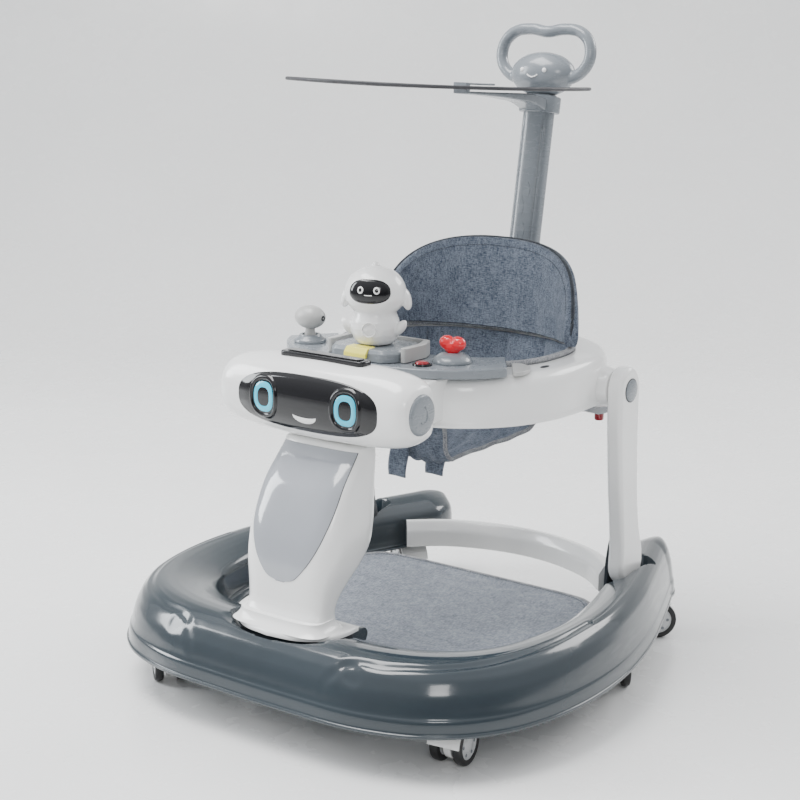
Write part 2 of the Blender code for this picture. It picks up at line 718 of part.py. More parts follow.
def build_face(white, black, eye_blue, grey):
    sections = list(FACE_SECTIONS)
    sections += [(-x, y, hy, hz) for x, y, hy, hz in reversed(FACE_SECTIONS[:-1])]
    body = loft([face_section(*section) for section in sections])
    rear = box((-0.2, 0.2), (FACE_BACK_Y, 0.0), (0.30, 0.44))
    y, z = COLUMN_HEAD
    lugs = []
    for _, side in LEFT_RIGHT:
        xs = [side * value for value in LUG_X]
        hanger = [(y - 0.0020, z + 0.0056), (y + 0.0060, z), (y + 0.0162, z + 0.0100),
                  (y + 0.0162, z + 0.0300), (y + 0.0040, z + 0.0300), (y + 0.0040, z + 0.0105)]
        lug = union(cylinder((xs[0], y, z), (xs[1], y, z), 0.0062), side_prism(hanger, *sorted(xs)))
        lugs.append(lug)
    body = union(subtract(body, rear), *lugs)
    bores = [cylinder((side * 0.0200, y, z), (side * 0.0450, y, z), 0.0026 + GAP, 12)
             for _, side in LEFT_RIGHT]
    panel = oval((0.0, PANEL_Z), PANEL_HALF, 3.2, 28, GAP)
    body = subtract(body, *bores, face_patch(panel, 0.0030 + GAP, 0.010))
    strip = box((-0.0620 - GAP, 0.0620 + GAP), (-0.2440, -0.2230), (0.4170 - GAP, 0.44))
    ear_y, ear_z = EAR
    cups = [cylinder((side * (0.1370 - GAP), ear_y, ear_z), (side * 0.17, ear_y, ear_z), 0.0244, 28)
            for _, side in LEFT_RIGHT]
    deliver(subtract(body, strip, *cups), "face_housing", white)
    plate = face_patch(oval((0.0, PANEL_Z), PANEL_HALF, 3.2, 28), 0.0030, 0.0008)
    holes = []
    for label, side in LEFT_RIGHT:
        centre = (side * EYE_CENTRE[0], EYE_CENTRE[1])
        holes.append(face_patch(oval(centre, EYE_HALF, 2.5, 16, GAP), 0.010, 0.010))
        deliver(face_patch(oval(centre, EYE_HALF, 2.5, 16), 0.0028, 0.0016), f"eye_{label}", eye_blue)
        ear = cylinder((side * 0.1370, ear_y, ear_z), (side * 0.1400, ear_y, ear_z), 0.0240, 28)
        tip = cylinder((side * 0.1400, ear_y, ear_z), (side * 0.1425, ear_y, ear_z), 0.0240, 28, 0.0200)
        deliver(union(ear, tip), f"ear_{label}", grey, (side * 0.1400, ear_y, ear_z))
    deliver(subtract(plate, *holes), "face_panel", black)
    deliver(rounded_box((-0.0620, 0.0620), (-0.2436, -0.2234), (0.4170, 0.4245), 0.003),
            "top_strip", black)


def console_outline():
    outer = []
    inner = []
    for i in range(17):
        angle = math.radians(-150 + 120 * i / 16)
        c = math.cos(angle)
        s = math.sin(angle)
        outer.append((0.186 * math.copysign(abs(c) ** 0.80, c), 0.022 + 0.196 * -abs(s) ** 0.80))
    for i in range(13):
        angle = math.radians(-36 - 108 * i / 12)
        c = math.cos(angle)
        s = math.sin(angle)
        inner.append((0.1535 * math.copysign(abs(c) ** 0.84, c), 0.045 + 0.1285 * -abs(s) ** 0.84))
    return outer + inner


def build_console(grey, light):
    body = prism(console_outline(), CONSOLE_BOTTOM, CONSOLE_TOP, 0.0020)
    lamp = cylinder((*RED_BUTTON, 0.4045), (*RED_BUTTON, 0.44), 0.0118 + GAP)
    deliver(subtract(body, lamp), "console_top", grey)
    for label, side in LEFT_RIGHT:
        outline = [(side * 0.1370, -0.0360), (side * 0.1690, -0.0840), (side * 0.1760, -0.0720),
                   (side * 0.1740, -0.0520), (side * 0.1660, -0.0400), (side * 0.1500, -0.0300)]
        deliver(prism(outline, CONSOLE_BOTTOM, 0.4035, 0.0010), f"console_tab_{label}", light)


def build_block(grey, light, yellow):
    z = CONSOLE_TOP + GAP
    outline = [(-0.0380, -0.1650), (0.0380, -0.1650), (0.0495, -0.1500), (0.0505, -0.1120),
               (0.0410, -0.0880), (-0.0410, -0.0880), (-0.0505, -0.1120), (-0.0495, -0.1500)]
    body = prism(outline, z, BLOCK_TOP, 0.0035)
    notch = box((-0.0165, 0.0165), (-0.1800, -0.1495), (0.4140, 0.44))
    deliver(subtract(body, notch), "console_block", grey)
    key = prism([(-0.0161, -0.1680), (0.0161, -0.1680), (0.0161, -0.1500), (-0.0161, -0.1500)],
                0.4178, 0.4270, 0.0015)
    deliver(key, "yellow_button", yellow, (0.0, -0.1590, 0.4224))
    arm = [(-0.0630, -0.1480), (-0.0512, -0.1480), (-0.0520, -0.1110), (-0.0420, -0.0862),
           (0.0420, -0.0862), (0.0520, -0.1110), (0.0512, -0.1480), (0.0630, -0.1480),
           (0.0645, -0.1060), (0.0530, -0.0835), (-0.0530, -0.0835), (-0.0645, -0.1060)]
    deliver(prism(arm, z, 0.4285, 0.0012), "block_trim", light)


def build_joystick(grey, light):
    x, y = JOYSTICK
    z = CONSOLE_TOP + GAP
    base = turned([(0.0205, 0.0), (0.0205, 0.003), (0.0160, 0.0055), (0.0135, 0.0095)],
                  (x, y, z), 28)
    base = subtract(base, cylinder((x, y, z + 0.002), (x, y, z + 0.02), 0.0100))
    deliver(base, "joystick_base", grey)
    ball = turned([(0.0040, 0.0032), (0.0082, 0.0055), (0.0078, 0.0100), (0.0058, 0.0165),
                   (0.0066, 0.0240)], (x, y, z), 12)
    knob = ellipsoid((x, y, 0.4415), (0.0215, 0.0165, 0.0150), 16, 8)
    hole = cylinder((x + 0.0185, y, 0.4415), (x + 0.030, y, 0.4415), 0.0036, 8)
    deliver(subtract(union(ball, knob), hole), "joystick", light, (x, y, z + 0.006))


def build_knob(grey, red, black):
    x, y = KNOB
    z = CONSOLE_TOP + GAP
    base = turned([(0.0240, 0.0), (0.0240, 0.0020), (0.0190, 0.0075), (0.0110, 0.0115)],
                  (x, y, z), 28)
    base = subtract(base, cylinder((x, y, z + 0.003), (x, y, z + 0.03), 0.0060))
    deliver(base, "knob_base", grey)
    stem = cylinder((x, y, z + 0.0035), (x, y, 0.4300), 0.0055, 10)
    lobes = [ellipsoid((x + side * 0.0078, y, 0.4325), (0.0112, 0.0082, 0.0098), 12, 8)
             for _, side in LEFT_RIGHT]
    deliver(union(stem, *lobes), "red_knob", red, (x, y, z + 0.004))
    x, y = RED_BUTTON
    bezel = turned([(0.0118, 0.4050), (0.0118, 0.4112), (0.0100, 0.4125)], (x, y, 0.0), 24)
    bezel = subtract(bezel, cylinder((x, y, 0.4060), (x, y, 0.42), 0.0080 + GAP, 24))
    deliver(bezel, "red_button_bezel", black)
    button = turned([(0.0080, 0.4085), (0.0080, 0.4128), (0.0060, 0.4146), (0.0030, 0.4152)],
                    (x, y, 0.0), 24)
    deliver(button, "red_button", red, (x, y, 0.4115))


def toy_head_point(across, up, grow):
    rx, ry, rz = 0.0375 + grow, 0.0335 + grow, 0.0320 + grow
    return Vector((rx * math.sin(across) * math.cos(up), -ry * math.cos(across) * math.cos(up),
                   rz * math.sin(up)))


def toy_visor(turn, centre, grow_in, grow_out, margin):
    rings = 3
    count = 20
    verts = []
    faces = []
    for grow in (grow_out, grow_in):
        start = len(verts)
        verts.append(centre + turn @ toy_head_point(0.0, VISOR_UP, grow))
        for k in range(1, rings + 1):
            for across, up in oval((0.0, VISOR_UP), VISOR_HALF, 2.5, count, margin):
                share = k / rings
                point = toy_head_point(across * share, VISOR_UP + (up - VISOR_UP) * share, grow)
                verts.append(centre + turn @ point)
        for j in range(count):
            n = (j + 1) % count
            faces.append((start, start + 1 + j, start + 1 + n))
            for k in range(rings - 1):
                low = start + 1 + k * count
                faces.append((low + j, low + count + j, low + count + n, low + n))
    size = 1 + rings * count
    rim = 1 + (rings - 1) * count
    for j in range(count):
        n = (j + 1) % count
        faces.append((rim + j, rim + n, size + rim + n, size + rim + j))
    return raw_object(verts, faces)


def build_toy(white, black):
    x, y = TOY
    z = BLOCK_TOP + GAP
    turn = Matrix.Rotation(TOY_HEADING, 3, "Z")
    spot = Vector((x, y, 0.0))
    body = turned([(0.0190, 0.0), (0.0240, 0.0040), (0.0285, 0.0120), (0.0300, 0.0210),
                   (0.0285, 0.0300), (0.0255, 0.0370), (0.0245, 0.0430), (0.0245, 0.0560)],
                  (x, y, z), 20)
    head = Vector((x, y, TOY_HEAD_Z))
    parts = [ellipsoid(head, (0.0375, 0.0335, 0.0320), 20, 10, turn)]
    for _, side in LEFT_RIGHT:
        parts.append(ellipsoid(spot + turn @ Vector((side * 0.0375, 0.004, 0.480)),
                               (0.0060, 0.0085, 0.0130), 8, 6, turn))
        parts.append(ellipsoid(spot + turn @ Vector((side * 0.0335, -0.006, 0.445)),
                               (0.0085, 0.0065, 0.0080), 8, 6, turn))
    parts.append(ellipsoid(spot + Vector((0.0, 0.0, TOY_HEAD_Z + 0.0315)), (0.0050, 0.0050, 0.0055), 8, 6))
    body = union(body, *parts)
    body = subtract(body, toy_visor(turn, head, -0.0018, 0.006, 0.012))
    deliver(body, "toy_robot", white, (x, y, z))
    deliver(toy_visor(turn, head, -0.0014, 0.0005, 0.0), "toy_visor", black, (x, y, z))


def build_brackets(grey, red):
    for label, side in LEFT_RIGHT:
        outline = [(0.045, 0.3374), (0.130, 0.3374), (0.130, 0.3200), (0.119, 0.3180), (0.100, 0.3200)]
        xs = sorted((side * 0.1610, side * 0.1833))
        body = side_prism(outline, *xs)
        spot = (side * 0.1752, 0.1150)
        body = subtract(body, cylinder((*spot, 0.300), (*spot, 0.3330), 0.0062 + GAP))
        deliver(body, f"hinge_bracket_{label}", grey)
        button = turned([(0.0040, 0.3085), (0.0062, 0.3110), (0.0062, 0.3270)], (*spot, 0.0), 18)
        deliver(button, f"release_button_{label}", red, (*spot, 0.3200))


def seat_back_top(share):
    return 0.412 + 0.113 * max(0.0, 1.0 - abs(share) ** 3.4) ** 0.52


def build_seat(fabric):
    sections = []
    count = 24
    for i in range(count + 1):
        share = -1.0 + 2.0 * i / count
        angle = math.radians(90 - 70 * share)
        out = Vector((math.cos(angle) * 0.110, math.sin(angle) * 0.160)).normalized()
        here = Vector((0.1690 * math.cos(angle), 0.050 + 0.1080 * math.sin(angle)))
        top = seat_back_top(share * 0.985)
        thick = 0.0100
        low = 0.4060
        lean = 0.06
        section = []
        for reach, z in ((-1.0, low + 0.004), (-0.5, low), (0.5, low), (1.0, low + 0.004),
                         (1.0, (low + top) / 2), (1.0, top - 0.008), (0.5, top - 0.001), (0.0, top),
                         (-0.5, top - 0.001), (-1.0, top - 0.008), (-1.0, (low + top) / 2)):
            shift = reach * thick * 0.95 - 0.010 + lean * (z - low) * max(0.0, math.sin(angle))
            spot = here + out * shift
            section.append((spot.x, spot.y, z))
        sections.append(section)
    deliver(loft(sections), "seat_back", fabric)


def sling_band(margin_in):
    half = (OPENING_HALF[0] - margin_in, OPENING_HALF[1] - margin_in)
    outer = []
    for z, shrink in ((0.3950, 0.0), (0.3700, 0.0005), (0.3480, 0.004), (0.3320, 0.011)):
        outer.append((z, shrink))
    sections = []
    for z, shrink in outer:
        sections.append(super_ring((0.0, OPENING_CENTRE_Y), (half[0] - shrink, half[1] - shrink),
                                   RING_EXPONENT, z, 36))
    for z, shrink in reversed(outer):
        sections.append(super_ring((0.0, OPENING_CENTRE_Y),
                                   (half[0] - shrink - 0.003, half[1] - shrink - 0.003),
                                   RING_EXPONENT, z + 0.001, 36))
    return loft(sections, closed=True)


def build_sling(fabric):
    band = sling_band(0.0016)
    path = [(-0.0665, 0.3450, 0.062), (-0.0540, 0.3140, 0.052), (-0.0300, 0.2780, 0.042),
            (0.0100, 0.2560, 0.040), (0.0550, 0.2500, 0.052), (0.0950, 0.2580, 0.074),
            (0.1220, 0.2800, 0.088), (0.1370, 0.3120, 0.092), (0.1430, 0.3450, 0.085)]
    line = smooth_line(path, 2)
    sections = []
    for i, point in enumerate(line):
        ahead = line[min(i + 1, len(line) - 1)] - line[max(i - 1, 0)]
        normal = Vector((-ahead.y, ahead.x)).normalized()
        section = []
        for face in (-1, 1):
            row = []
            for j in range(7):
                share = j / 3.0 - 1.0
                rise = 0.020 * share * share * (point.z / 0.10)
                row.append((share * point.z, point.x + normal.x * face * 0.0016,
                            point.y + rise + normal.y * face * 0.0016))
            section += row if face < 0 else list(reversed(row))
        sections.append(section)
    tails = []
    for x, y, bottom in ((-0.0250, -0.0500, 0.2360), (0.0200, -0.0260, 0.2400)):
        tails.append(loft([[(x + a * 0.0140, y + b, z) for a, b in ((-1, 0), (1, 0), (1, 0.003), (-1, 0.003))]
                           for z in (bottom, 0.3100)]))
    deliver(union(band, loft(sections), *tails), "seat_sling", fabric)


def pole_point(distance, x=0.0, side=0.0):
    """Point at a distance up the pole; side is across the pole toward the back."""
    return Vector((POLE_FOOT[0] + x,
                   POLE_FOOT[1] + distance * math.sin(POLE_LEAN) + side * math.cos(POLE_LEAN),
                   POLE_FOOT[2] + distance * math.cos(POLE_LEAN) - side * math.sin(POLE_LEAN)))


def pole_body(low, high, margin, extend):
    sections = []
    for distance in (low - extend, high):
        ring = []
        for x, side, _ in super_ring((0.0, 0.0), (POLE_HALF[0] + margin, POLE_HALF[1] + margin),
                                     3.0, 0.0, 28):
            ring.append(pole_point(distance, x, side))
        sections.append(ring)
    return loft(sections)


def build_pole(grey):
    body = pole_body(0.0, POLE_LENGTH - 0.010, 0.0, 0.0)
    grooves = []
    for _, side in LEFT_RIGHT:
        grooves.append(cylinder(pole_point(0.075, side * 0.0150, -0.0140),
                                pole_point(0.320, side * 0.0150, -0.0140), 0.0022, 8))
    deliver(subtract(body, *grooves), "push_pole", grey, pole_point(0.0))


def build_handle(grey):
    top = POLE_LENGTH - 0.010 + GAP
    rings = []
    for distance, rx, ry in ((top, 0.0210, 0.0130), (top + 0.006, 0.0340, 0.0200),
                             (top + 0.016, 0.0440, 0.0265), (top + 0.029, 0.0470, 0.0290),
                             (top + 0.041, 0.0420, 0.0260), (top + 0.051, 0.0280, 0.0180),
                             (top + 0.056, 0.0110, 0.0075)):
        ring = []
        for i in range(20):
            angle = 2 * math.pi * i / 20
            ring.append(pole_point(distance, rx * math.cos(angle), ry * math.sin(angle)))
        rings.append(ring)
    head = loft(rings)
    half = [(0.0300, 0.020), (0.0480, 0.024), (0.0630, 0.036), (0.0690, 0.053), (0.0640, 0.072),
            (0.0480, 0.0845), (0.0240, 0.0870), (0.0, 0.0835)]
    path = half + [(-x, d) for x, d in reversed(half[:-1])]
    line = smooth_line(path, 2)
    sections = []
    for i, point in enumerate(line):
        ahead = (line[min(i + 1, len(line) - 1)] - line[max(i - 1, 0)]).normalized()
        ring = []
        for j in range(8):
            angle = 2 * math.pi * j / 8
            across = 0.0078 * math.cos(angle)
            ring.append(pole_point(top + point.y + ahead.x * across, point.x - ahead.y * across,
                                   0.0088 * math.sin(angle)))
        sections.append(ring)
    deliver(union(head, loft(sections)), "push_handle", grey, pole_point(0.0))


def canopy_z(y):
    return CANOPY_Z + CANOPY_SLOPE * y


def build_clip(grey):
    low = POLE_LENGTH - 0.0340
    high = POLE_LENGTH - 0.0120
    collar = []
    for distance in (low, high):
        ring = []
        for x, side, _ in super_ring((0.0, 0.0), (0.0275, 0.0190), 3.0, 0.0, 28):
            ring.append(pole_point(distance, x, side))
        collar.append(ring)
    body = loft(collar)
    front = pole_point(high - 0.006).y - 0.012
    outline = []
    for y, lift, drop in ((0.050, -0.0045, -0.0075), (0.120, -0.0045, -0.0110),
                          (0.190, -0.0045, -0.0170), (front + 0.002, -0.0120, -0.0290)):
        outline.append((y, canopy_z(y) + lift, canopy_z(y) + drop))
    sections = []
    for (y, high_z, low_z), half in zip(outline, (0.0110, 0.0150, 0.0190, 0.0200)):
        sections.append([(-half, y, low_z), (half, y, low_z), (half, y, high_z), (-half, y, high_z)])
    arm = loft(sections)
    jaw = []
    for y, half, lift, top in ((0.046, 0.0105, -0.0060, 0.0050), (0.0535, 0.0110, -0.0060, 0.0050)):
        z = canopy_z(y)
        jaw.append([(-half, y, z + lift), (half, y, z + lift), (half, y, z + top), (-half, y, z + top)])
    leaf = []
    for y, half in ((0.048, 0.0105), (0.105, 0.0130)):
        z = canopy_z(y)
        leaf.append([(-half, y, z + 0.0026), (half, y, z + 0.0026), (half, y, z + 0.0052),
                     (-half, y, z + 0.0052)])
    body = union(body, arm, loft(jaw), loft(leaf))
    body = subtract(body, pole_body(low - 0.02, high + 0.04, GAP, 0.0))
    deliver(body, "canopy_clip", grey, pole_point(low))


def canopy_ring(half_x, half_y, count):
    ring = []
    for i in range(count):
        angle = 2 * math.pi * i / count
        y = CANOPY_CENTRE_Y + half_y * math.sin(angle)
        ring.append(Vector((half_x * math.cos(angle), y, canopy_z(y))))
    return ring


def build_canopy(fabric, wire):
    path = canopy_ring(CANOPY_HALF[0] - HOOP_RADIUS, CANOPY_HALF[1] - HOOP_RADIUS, 40)
    origin = pole_point(POLE_LENGTH - 0.0340)
    deliver(tube(path, HOOP_RADIUS, 6, closed=True), "canopy_hoop", wire, origin)
    reach = 2 * HOOP_RADIUS + 0.0005
    edge = canopy_ring(CANOPY_HALF[0] - reach, CANOPY_HALF[1] - reach, 40)
    sheet = loft([[point + Vector((0, 0, lift)) for point in edge] for lift in (-0.0008, 0.0008)])
    slot = box((-0.0112, 0.0112), (0.0450, 0.0542), (0.70, 0.75))
    deliver(subtract(sheet, slot), "canopy_fabric", fabric, origin)


def build():
    clear_scene()
    slate = material("slate_plastic", (0.045, 0.058, 0.070), 0.22)
    white = material("white_plastic", (0.82, 0.82, 0.81), 0.25)
    grey = material("grey_plastic", (0.30, 0.32, 0.34), 0.28)
    light = material("light_grey_plastic", (0.55, 0.55, 0.55), 0.35)
    black = material("black_gloss", (0.006, 0.006, 0.010), 0.08)
    blue = material("eye_blue", (0.03, 0.45, 0.65), 0.10)
    yellow = material("yellow_plastic", (0.85, 0.75, 0.10), 0.30)
    red = material("red_plastic", (0.75, 0.01, 0.02), 0.22)
    tyre = material("tyre_black", (0.012, 0.012, 0.013), 0.45)
    fabric = material("heather_fabric", (0.16, 0.19, 0.24), 0.90)
    canopy = material("canopy_fabric_grey", (0.28, 0.28, 0.29), 0.80)
    wire = material("hoop_wire", (0.06, 0.06, 0.065), 0.40)
    build_base(slate)
    build_cross_bar(white)
    build_mat(fabric)
    build_casters(white, tyre)
    build_column(white, grey)
    build_legs(white, grey)
    build_ring(white)
    build_face(white, black, blue, grey)
    build_console(grey, light)
    build_block(grey, light, yellow)
    build_joystick(grey, light)
    build_knob(grey, red, black)
    build_toy(white, black)
    build_brackets(grey, red)
    build_seat(fabric)
    build_sling(fabric)
    build_pole(grey)
    build_handle(grey)
    build_clip(grey)
    build_canopy(canopy, wire)


build()
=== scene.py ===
"""Baby walker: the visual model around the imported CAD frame."""
import math

import bmesh
import bpy
import numpy as np
from mathutils import Matrix, Vector, noise


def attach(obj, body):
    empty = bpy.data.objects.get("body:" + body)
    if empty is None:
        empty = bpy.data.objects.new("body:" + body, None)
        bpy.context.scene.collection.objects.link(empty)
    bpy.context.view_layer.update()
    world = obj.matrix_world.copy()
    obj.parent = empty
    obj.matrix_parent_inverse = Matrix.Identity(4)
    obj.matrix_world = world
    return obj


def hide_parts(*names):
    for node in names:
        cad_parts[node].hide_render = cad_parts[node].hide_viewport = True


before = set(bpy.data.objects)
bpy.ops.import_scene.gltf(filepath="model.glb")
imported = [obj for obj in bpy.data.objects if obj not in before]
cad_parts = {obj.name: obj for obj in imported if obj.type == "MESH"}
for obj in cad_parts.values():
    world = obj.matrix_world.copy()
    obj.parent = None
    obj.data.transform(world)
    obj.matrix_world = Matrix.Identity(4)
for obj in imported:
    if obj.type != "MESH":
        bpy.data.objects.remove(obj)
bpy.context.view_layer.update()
DATUM_Y = 0.0425
LIFT = 0.0085


# ---------------------------------------------------------------- shapes

def spline(points, steps):
    """Catmull-Rom line through the points."""
    pts = [np.array(p, float) for p in points]
    pad = [2 * pts[0] - pts[1]] + pts + [2 * pts[-1] - pts[-2]]
    out = []
    for i in range(1, len(pad) - 2):
        a, b, c, d = pad[i - 1:i + 3]
        for k in range(steps):
            t = k / steps
            out.append(0.5 * (2 * b + (c - a) * t + (2 * a - 5 * b + 4 * c - d) * t * t
                              + (3 * b - a - 3 * c + d) * t ** 3))
    out.append(pts[-1])
    return out


def ramp(low, high, value):
    t = min(1.0, max(0.0, (value - low) / (high - low)))
    return t * t * (3 - 2 * t)


def signed_power(value, power):
    return math.copysign(abs(value) ** power, value)


def loft(rings, loop=False, caps=True):
    count = len(rings[0])
    verts = [tuple(p) for ring in rings for p in ring]
    faces = []
    spans = len(rings) if loop else len(rings) - 1
    for i in range(spans):
        a = i * count
        b = ((i + 1) % len(rings)) * count
        for j in range(count):
            k = (j + 1) % count
            faces.append((a + j, a + k, b + k, b + j))
    if caps and not loop:
        faces.append(tuple(range(count)))
        faces.append(tuple(range(len(verts) - count, len(verts))))
    return verts, faces


def strip(rows):
    """Open grid through rows of points."""
    count = len(rows[0])
    verts = [tuple(p) for row in rows for p in row]
    faces = []
    for i in range(len(rows) - 1):
        for j in range(count - 1):
            a = i * count + j
            faces.append((a, a + 1, a + count + 1, a + count))
    return verts, faces


def fan(start, n, rings):
    """Faces of a sheet of rings of n points round the vertex numbered start."""
    faces = []
    for j in range(n):
        m = (j + 1) % n
        faces.append((start, start + 1 + j, start + 1 + m))
        for k in range(rings - 1):
            a = start + 1 + k * n
            faces.append((a + j, a + n + j, a + n + m, a + m))
    return faces


def rim_faces(n, rings):
    """Faces that close two such sheets of equal size along their outer rings."""
    size = 1 + rings * n
    rim = 1 + (rings - 1) * n
    return [(rim + j, rim + (j + 1) % n, size + rim + (j + 1) % n, size + rim + j)
            for j in range(n)]


def merge(*shapes):
    verts = []
    faces = []
    for v, f in shapes:
        start = len(verts)
        verts += v
        faces += [tuple(i + start for i in face) for face in f]
    return verts, faces


def lathe(profile, centre=(0, 0, 0), turn=None, segments=48, scale=(1, 1)):
    """Solid turned about Z; a radius of zero at either end closes on a small ring."""
    turn = turn or Matrix.Identity(3)
    rings = []
    for radius, height in profile:
        radius = max(radius, 1e-5)
        ring = []
        for i in range(segments):
            a = 2 * math.pi * i / segments
            p = Vector((radius * math.cos(a) * scale[0], radius * math.sin(a) * scale[1], height))
            ring.append(tuple(Vector(centre) + turn @ p))
        rings.append(ring)
    return loft(rings)


def hoop(profile, centre, turn, segments=48):
    """Ring-shaped solid: a closed profile of (radius, height) turned about Z."""
    rings = []
    for i in range(segments):
        a = 2 * math.pi * i / segments
        rings.append([tuple(Vector(centre) + turn @ Vector((r * math.cos(a), r * math.sin(a), h)))
                      for r, h in profile])
    return loft(rings, loop=True)


def tube(path, radius, segments=10, loop=False, flat=1.0, up=(0, 0, 1)):
    pts = [Vector(p) for p in path]
    rings = []
    n = len(pts)
    for i, p in enumerate(pts):
        before = pts[(i - 1) % n] if loop or i else pts[0]
        after = pts[(i + 1) % n] if loop or i < n - 1 else pts[-1]
        ahead = (after - before).normalized()
        side = ahead.cross(Vector(up))
        side = side.normalized() if side.length > 1e-4 else Vector((1, 0, 0))
        top = side.cross(ahead).normalized()
        r = radius[i] if hasattr(radius, "__len__") else radius
        rings.append([tuple(p + side * (r * math.cos(2 * math.pi * j / segments))
                            + top * (r * flat * math.sin(2 * math.pi * j / segments)))
                      for j in range(segments)])
    return loft(rings, loop=loop)


def blob(centre, radii, turn=None, segments=32, rings=20):
    turn = turn or Matrix.Identity(3)
    loops = []
    for i in range(1, rings):
        polar = math.pi * i / rings
        loops.append([tuple(Vector(centre) + turn @ Vector((
            radii[0] * math.sin(polar) * math.cos(2 * math.pi * j / segments),
            radii[1] * math.sin(polar) * math.sin(2 * math.pi * j / segments),
            -radii[2] * math.cos(polar)))) for j in range(segments)])
    return loft(loops)


def oval(centre, half, power, count, z=0.0):
    pts = []
    for i in range(count):
        a = 2 * math.pi * i / count
        pts.append((centre[0] + half[0] * signed_power(math.cos(a), 2 / power),
                    centre[1] + half[1] * signed_power(math.sin(a), 2 / power), z))
    return pts


def prism(outline, low, high):
    return loft([[(x, y, low) for x, y in outline], [(x, y, high) for x, y in outline]])


def side_prism(outline, low, high):
    return loft([[(x, y, z) for y, z in outline] for x in (low, high)])


def round_outline(points, radius, steps=5):
    """Outline with its corners rounded."""
    out = []
    n = len(points)
    for i in range(n):
        p = Vector(points[i])
        a = Vector(points[i - 1]) - p
        b = Vector(points[(i + 1) % n]) - p
        r = min(radius, a.length * 0.45, b.length * 0.45)
        start = p + a.normalized() * r
        end = p + b.normalized() * r
        for k in range(steps + 1):
            t = k / steps
            q = start * (1 - t) ** 2 + p * 2 * t * (1 - t) + end * t * t
            out.append((q.x, q.y))
    return out


def stitches(path, out, pitch=0.0042, length=0.0028, radius=0.00038):
    """Separate thread loops along a path; out gives the way the surface faces at each point."""
    pts = [Vector(p) for p in path]
    shapes = []
    travelled = 0.0
    target = 0.0
    for i in range(len(pts) - 1):
        step = (pts[i + 1] - pts[i]).length
        while target <= travelled + step and step > 0:
            t = (target - travelled) / step
            p = pts[i].lerp(pts[i + 1], t)
            ahead = (pts[i + 1] - pts[i]).normalized()
            n = Vector(out[i]).normalized()
            line = [p - ahead * length / 2 - n * radius, p - ahead * length / 4 + n * radius,
                    p + ahead * length / 4 + n * radius, p + ahead * length / 2 - n * radius]
            shapes.append(tube(line, radius, 5, up=tuple(n)))
            target += pitch
        travelled += step
    return merge(*shapes)


def make(name, shape, mats, body, nodes=(), sharp=38.0, pick=None, bevel=0.0,
         bevel_steps=3, weld=True):
    verts, faces = shape
    mesh = bpy.data.meshes.new(name)
    mesh.from_pydata([tuple(v) for v in verts], [], faces)
    work = bmesh.new()
    work.from_mesh(mesh)
    if weld:
        bmesh.ops.remove_doubles(work, verts=work.verts, dist=1e-6)
    bmesh.ops.recalc_face_normals(work, faces=work.faces)
    rise = 0.0 if body.startswith(("swivel", "wheel")) else LIFT
    bmesh.ops.translate(work, verts=work.verts, vec=(0, DATUM_Y, rise))
    work.to_mesh(mesh)
    work.free()
    mats = mats if isinstance(mats, (list, tuple)) else [mats]
    for mat in mats:
        mesh.materials.append(mat)
    if pick:
        for face in mesh.polygons:
            c = face.center
            face.material_index = pick(c.x, c.y - DATUM_Y, c.z - rise)
    for face in mesh.polygons:
        face.use_smooth = True
    mesh.set_sharp_from_angle(angle=math.radians(sharp))
    obj = bpy.data.objects.new(name, mesh)
    bpy.context.scene.collection.objects.link(obj)
    if bevel:
        mod = obj.modifiers.new("edge", "BEVEL")
        mod.width = bevel
        mod.segments = bevel_steps
        mod.limit_method = "ANGLE"
        mod.angle_limit = math.radians(35)
        mod.harden_normals = True
    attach(obj, body)
    if nodes:
        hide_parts(*nodes)
    return obj


def melt(obj, voxel, smooth=6):
    """One skin over overlapping forms, with softened joins."""
    mod = obj.modifiers.new("skin", "REMESH")
    mod.mode = "VOXEL"
    mod.voxel_size = voxel
    mod.use_smooth_shade = True
    soft = obj.modifiers.new("soft", "SMOOTH")
    soft.factor = 0.5
    soft.iterations = smooth
    graph = bpy.context.evaluated_depsgraph_get()
    mesh = bpy.data.meshes.new_from_object(obj.evaluated_get(graph))
    obj.modifiers.clear()
    obj.data = mesh
    return obj


# ---------------------------------------------------------------- materials

def shader(name):
    mat = bpy.data.materials.new(name)
    mat.use_nodes = True
    return mat, mat.node_tree.nodes, mat.node_tree.links, mat.node_tree.nodes["Principled BSDF"]


def spot(nodes, links, scale=(1, 1, 1)):
    place = nodes.new("ShaderNodeTexCoord")
    size = nodes.new("ShaderNodeMapping")
    size.inputs["Scale"].default_value = scale
    links.new(place.outputs["Object"], size.inputs["Vector"])
    return size.outputs["Vector"]


def cloud(nodes, links, vector, scale, detail=3.0, rough=0.55):
    tex = nodes.new("ShaderNodeTexNoise")
    tex.inputs["Scale"].default_value = scale
    tex.inputs["Detail"].default_value = detail
    tex.inputs["Roughness"].default_value = rough
    links.new(vector, tex.inputs["Vector"])
    return tex.outputs["Fac"]


def spread(nodes, links, source, low, high, out_low=0.0, out_high=1.0):
    node = nodes.new("ShaderNodeMapRange")
    node.inputs["From Min"].default_value = low
    node.inputs["From Max"].default_value = high
    node.inputs["To Min"].default_value = out_low
    node.inputs["To Max"].default_value = out_high
    links.new(source, node.inputs["Value"])
    return node.outputs["Result"]


def tint(nodes, links, factor, first, second):
    node = nodes.new("ShaderNodeMix")
    node.data_type = "RGBA"
    node.inputs["A"].default_value = (*first, 1)
    node.inputs["B"].default_value = (*second, 1)
    links.new(factor, node.inputs["Factor"])
    return node.outputs["Result"]


def math_node(nodes, links, kind, a, b):
    node = nodes.new("ShaderNodeMath")
    node.operation = kind
    for socket, value in zip(node.inputs, (a, b)):
        if hasattr(value, "links"):
            links.new(value, socket)
        else:
            socket.default_value = value
    return node.outputs[0]


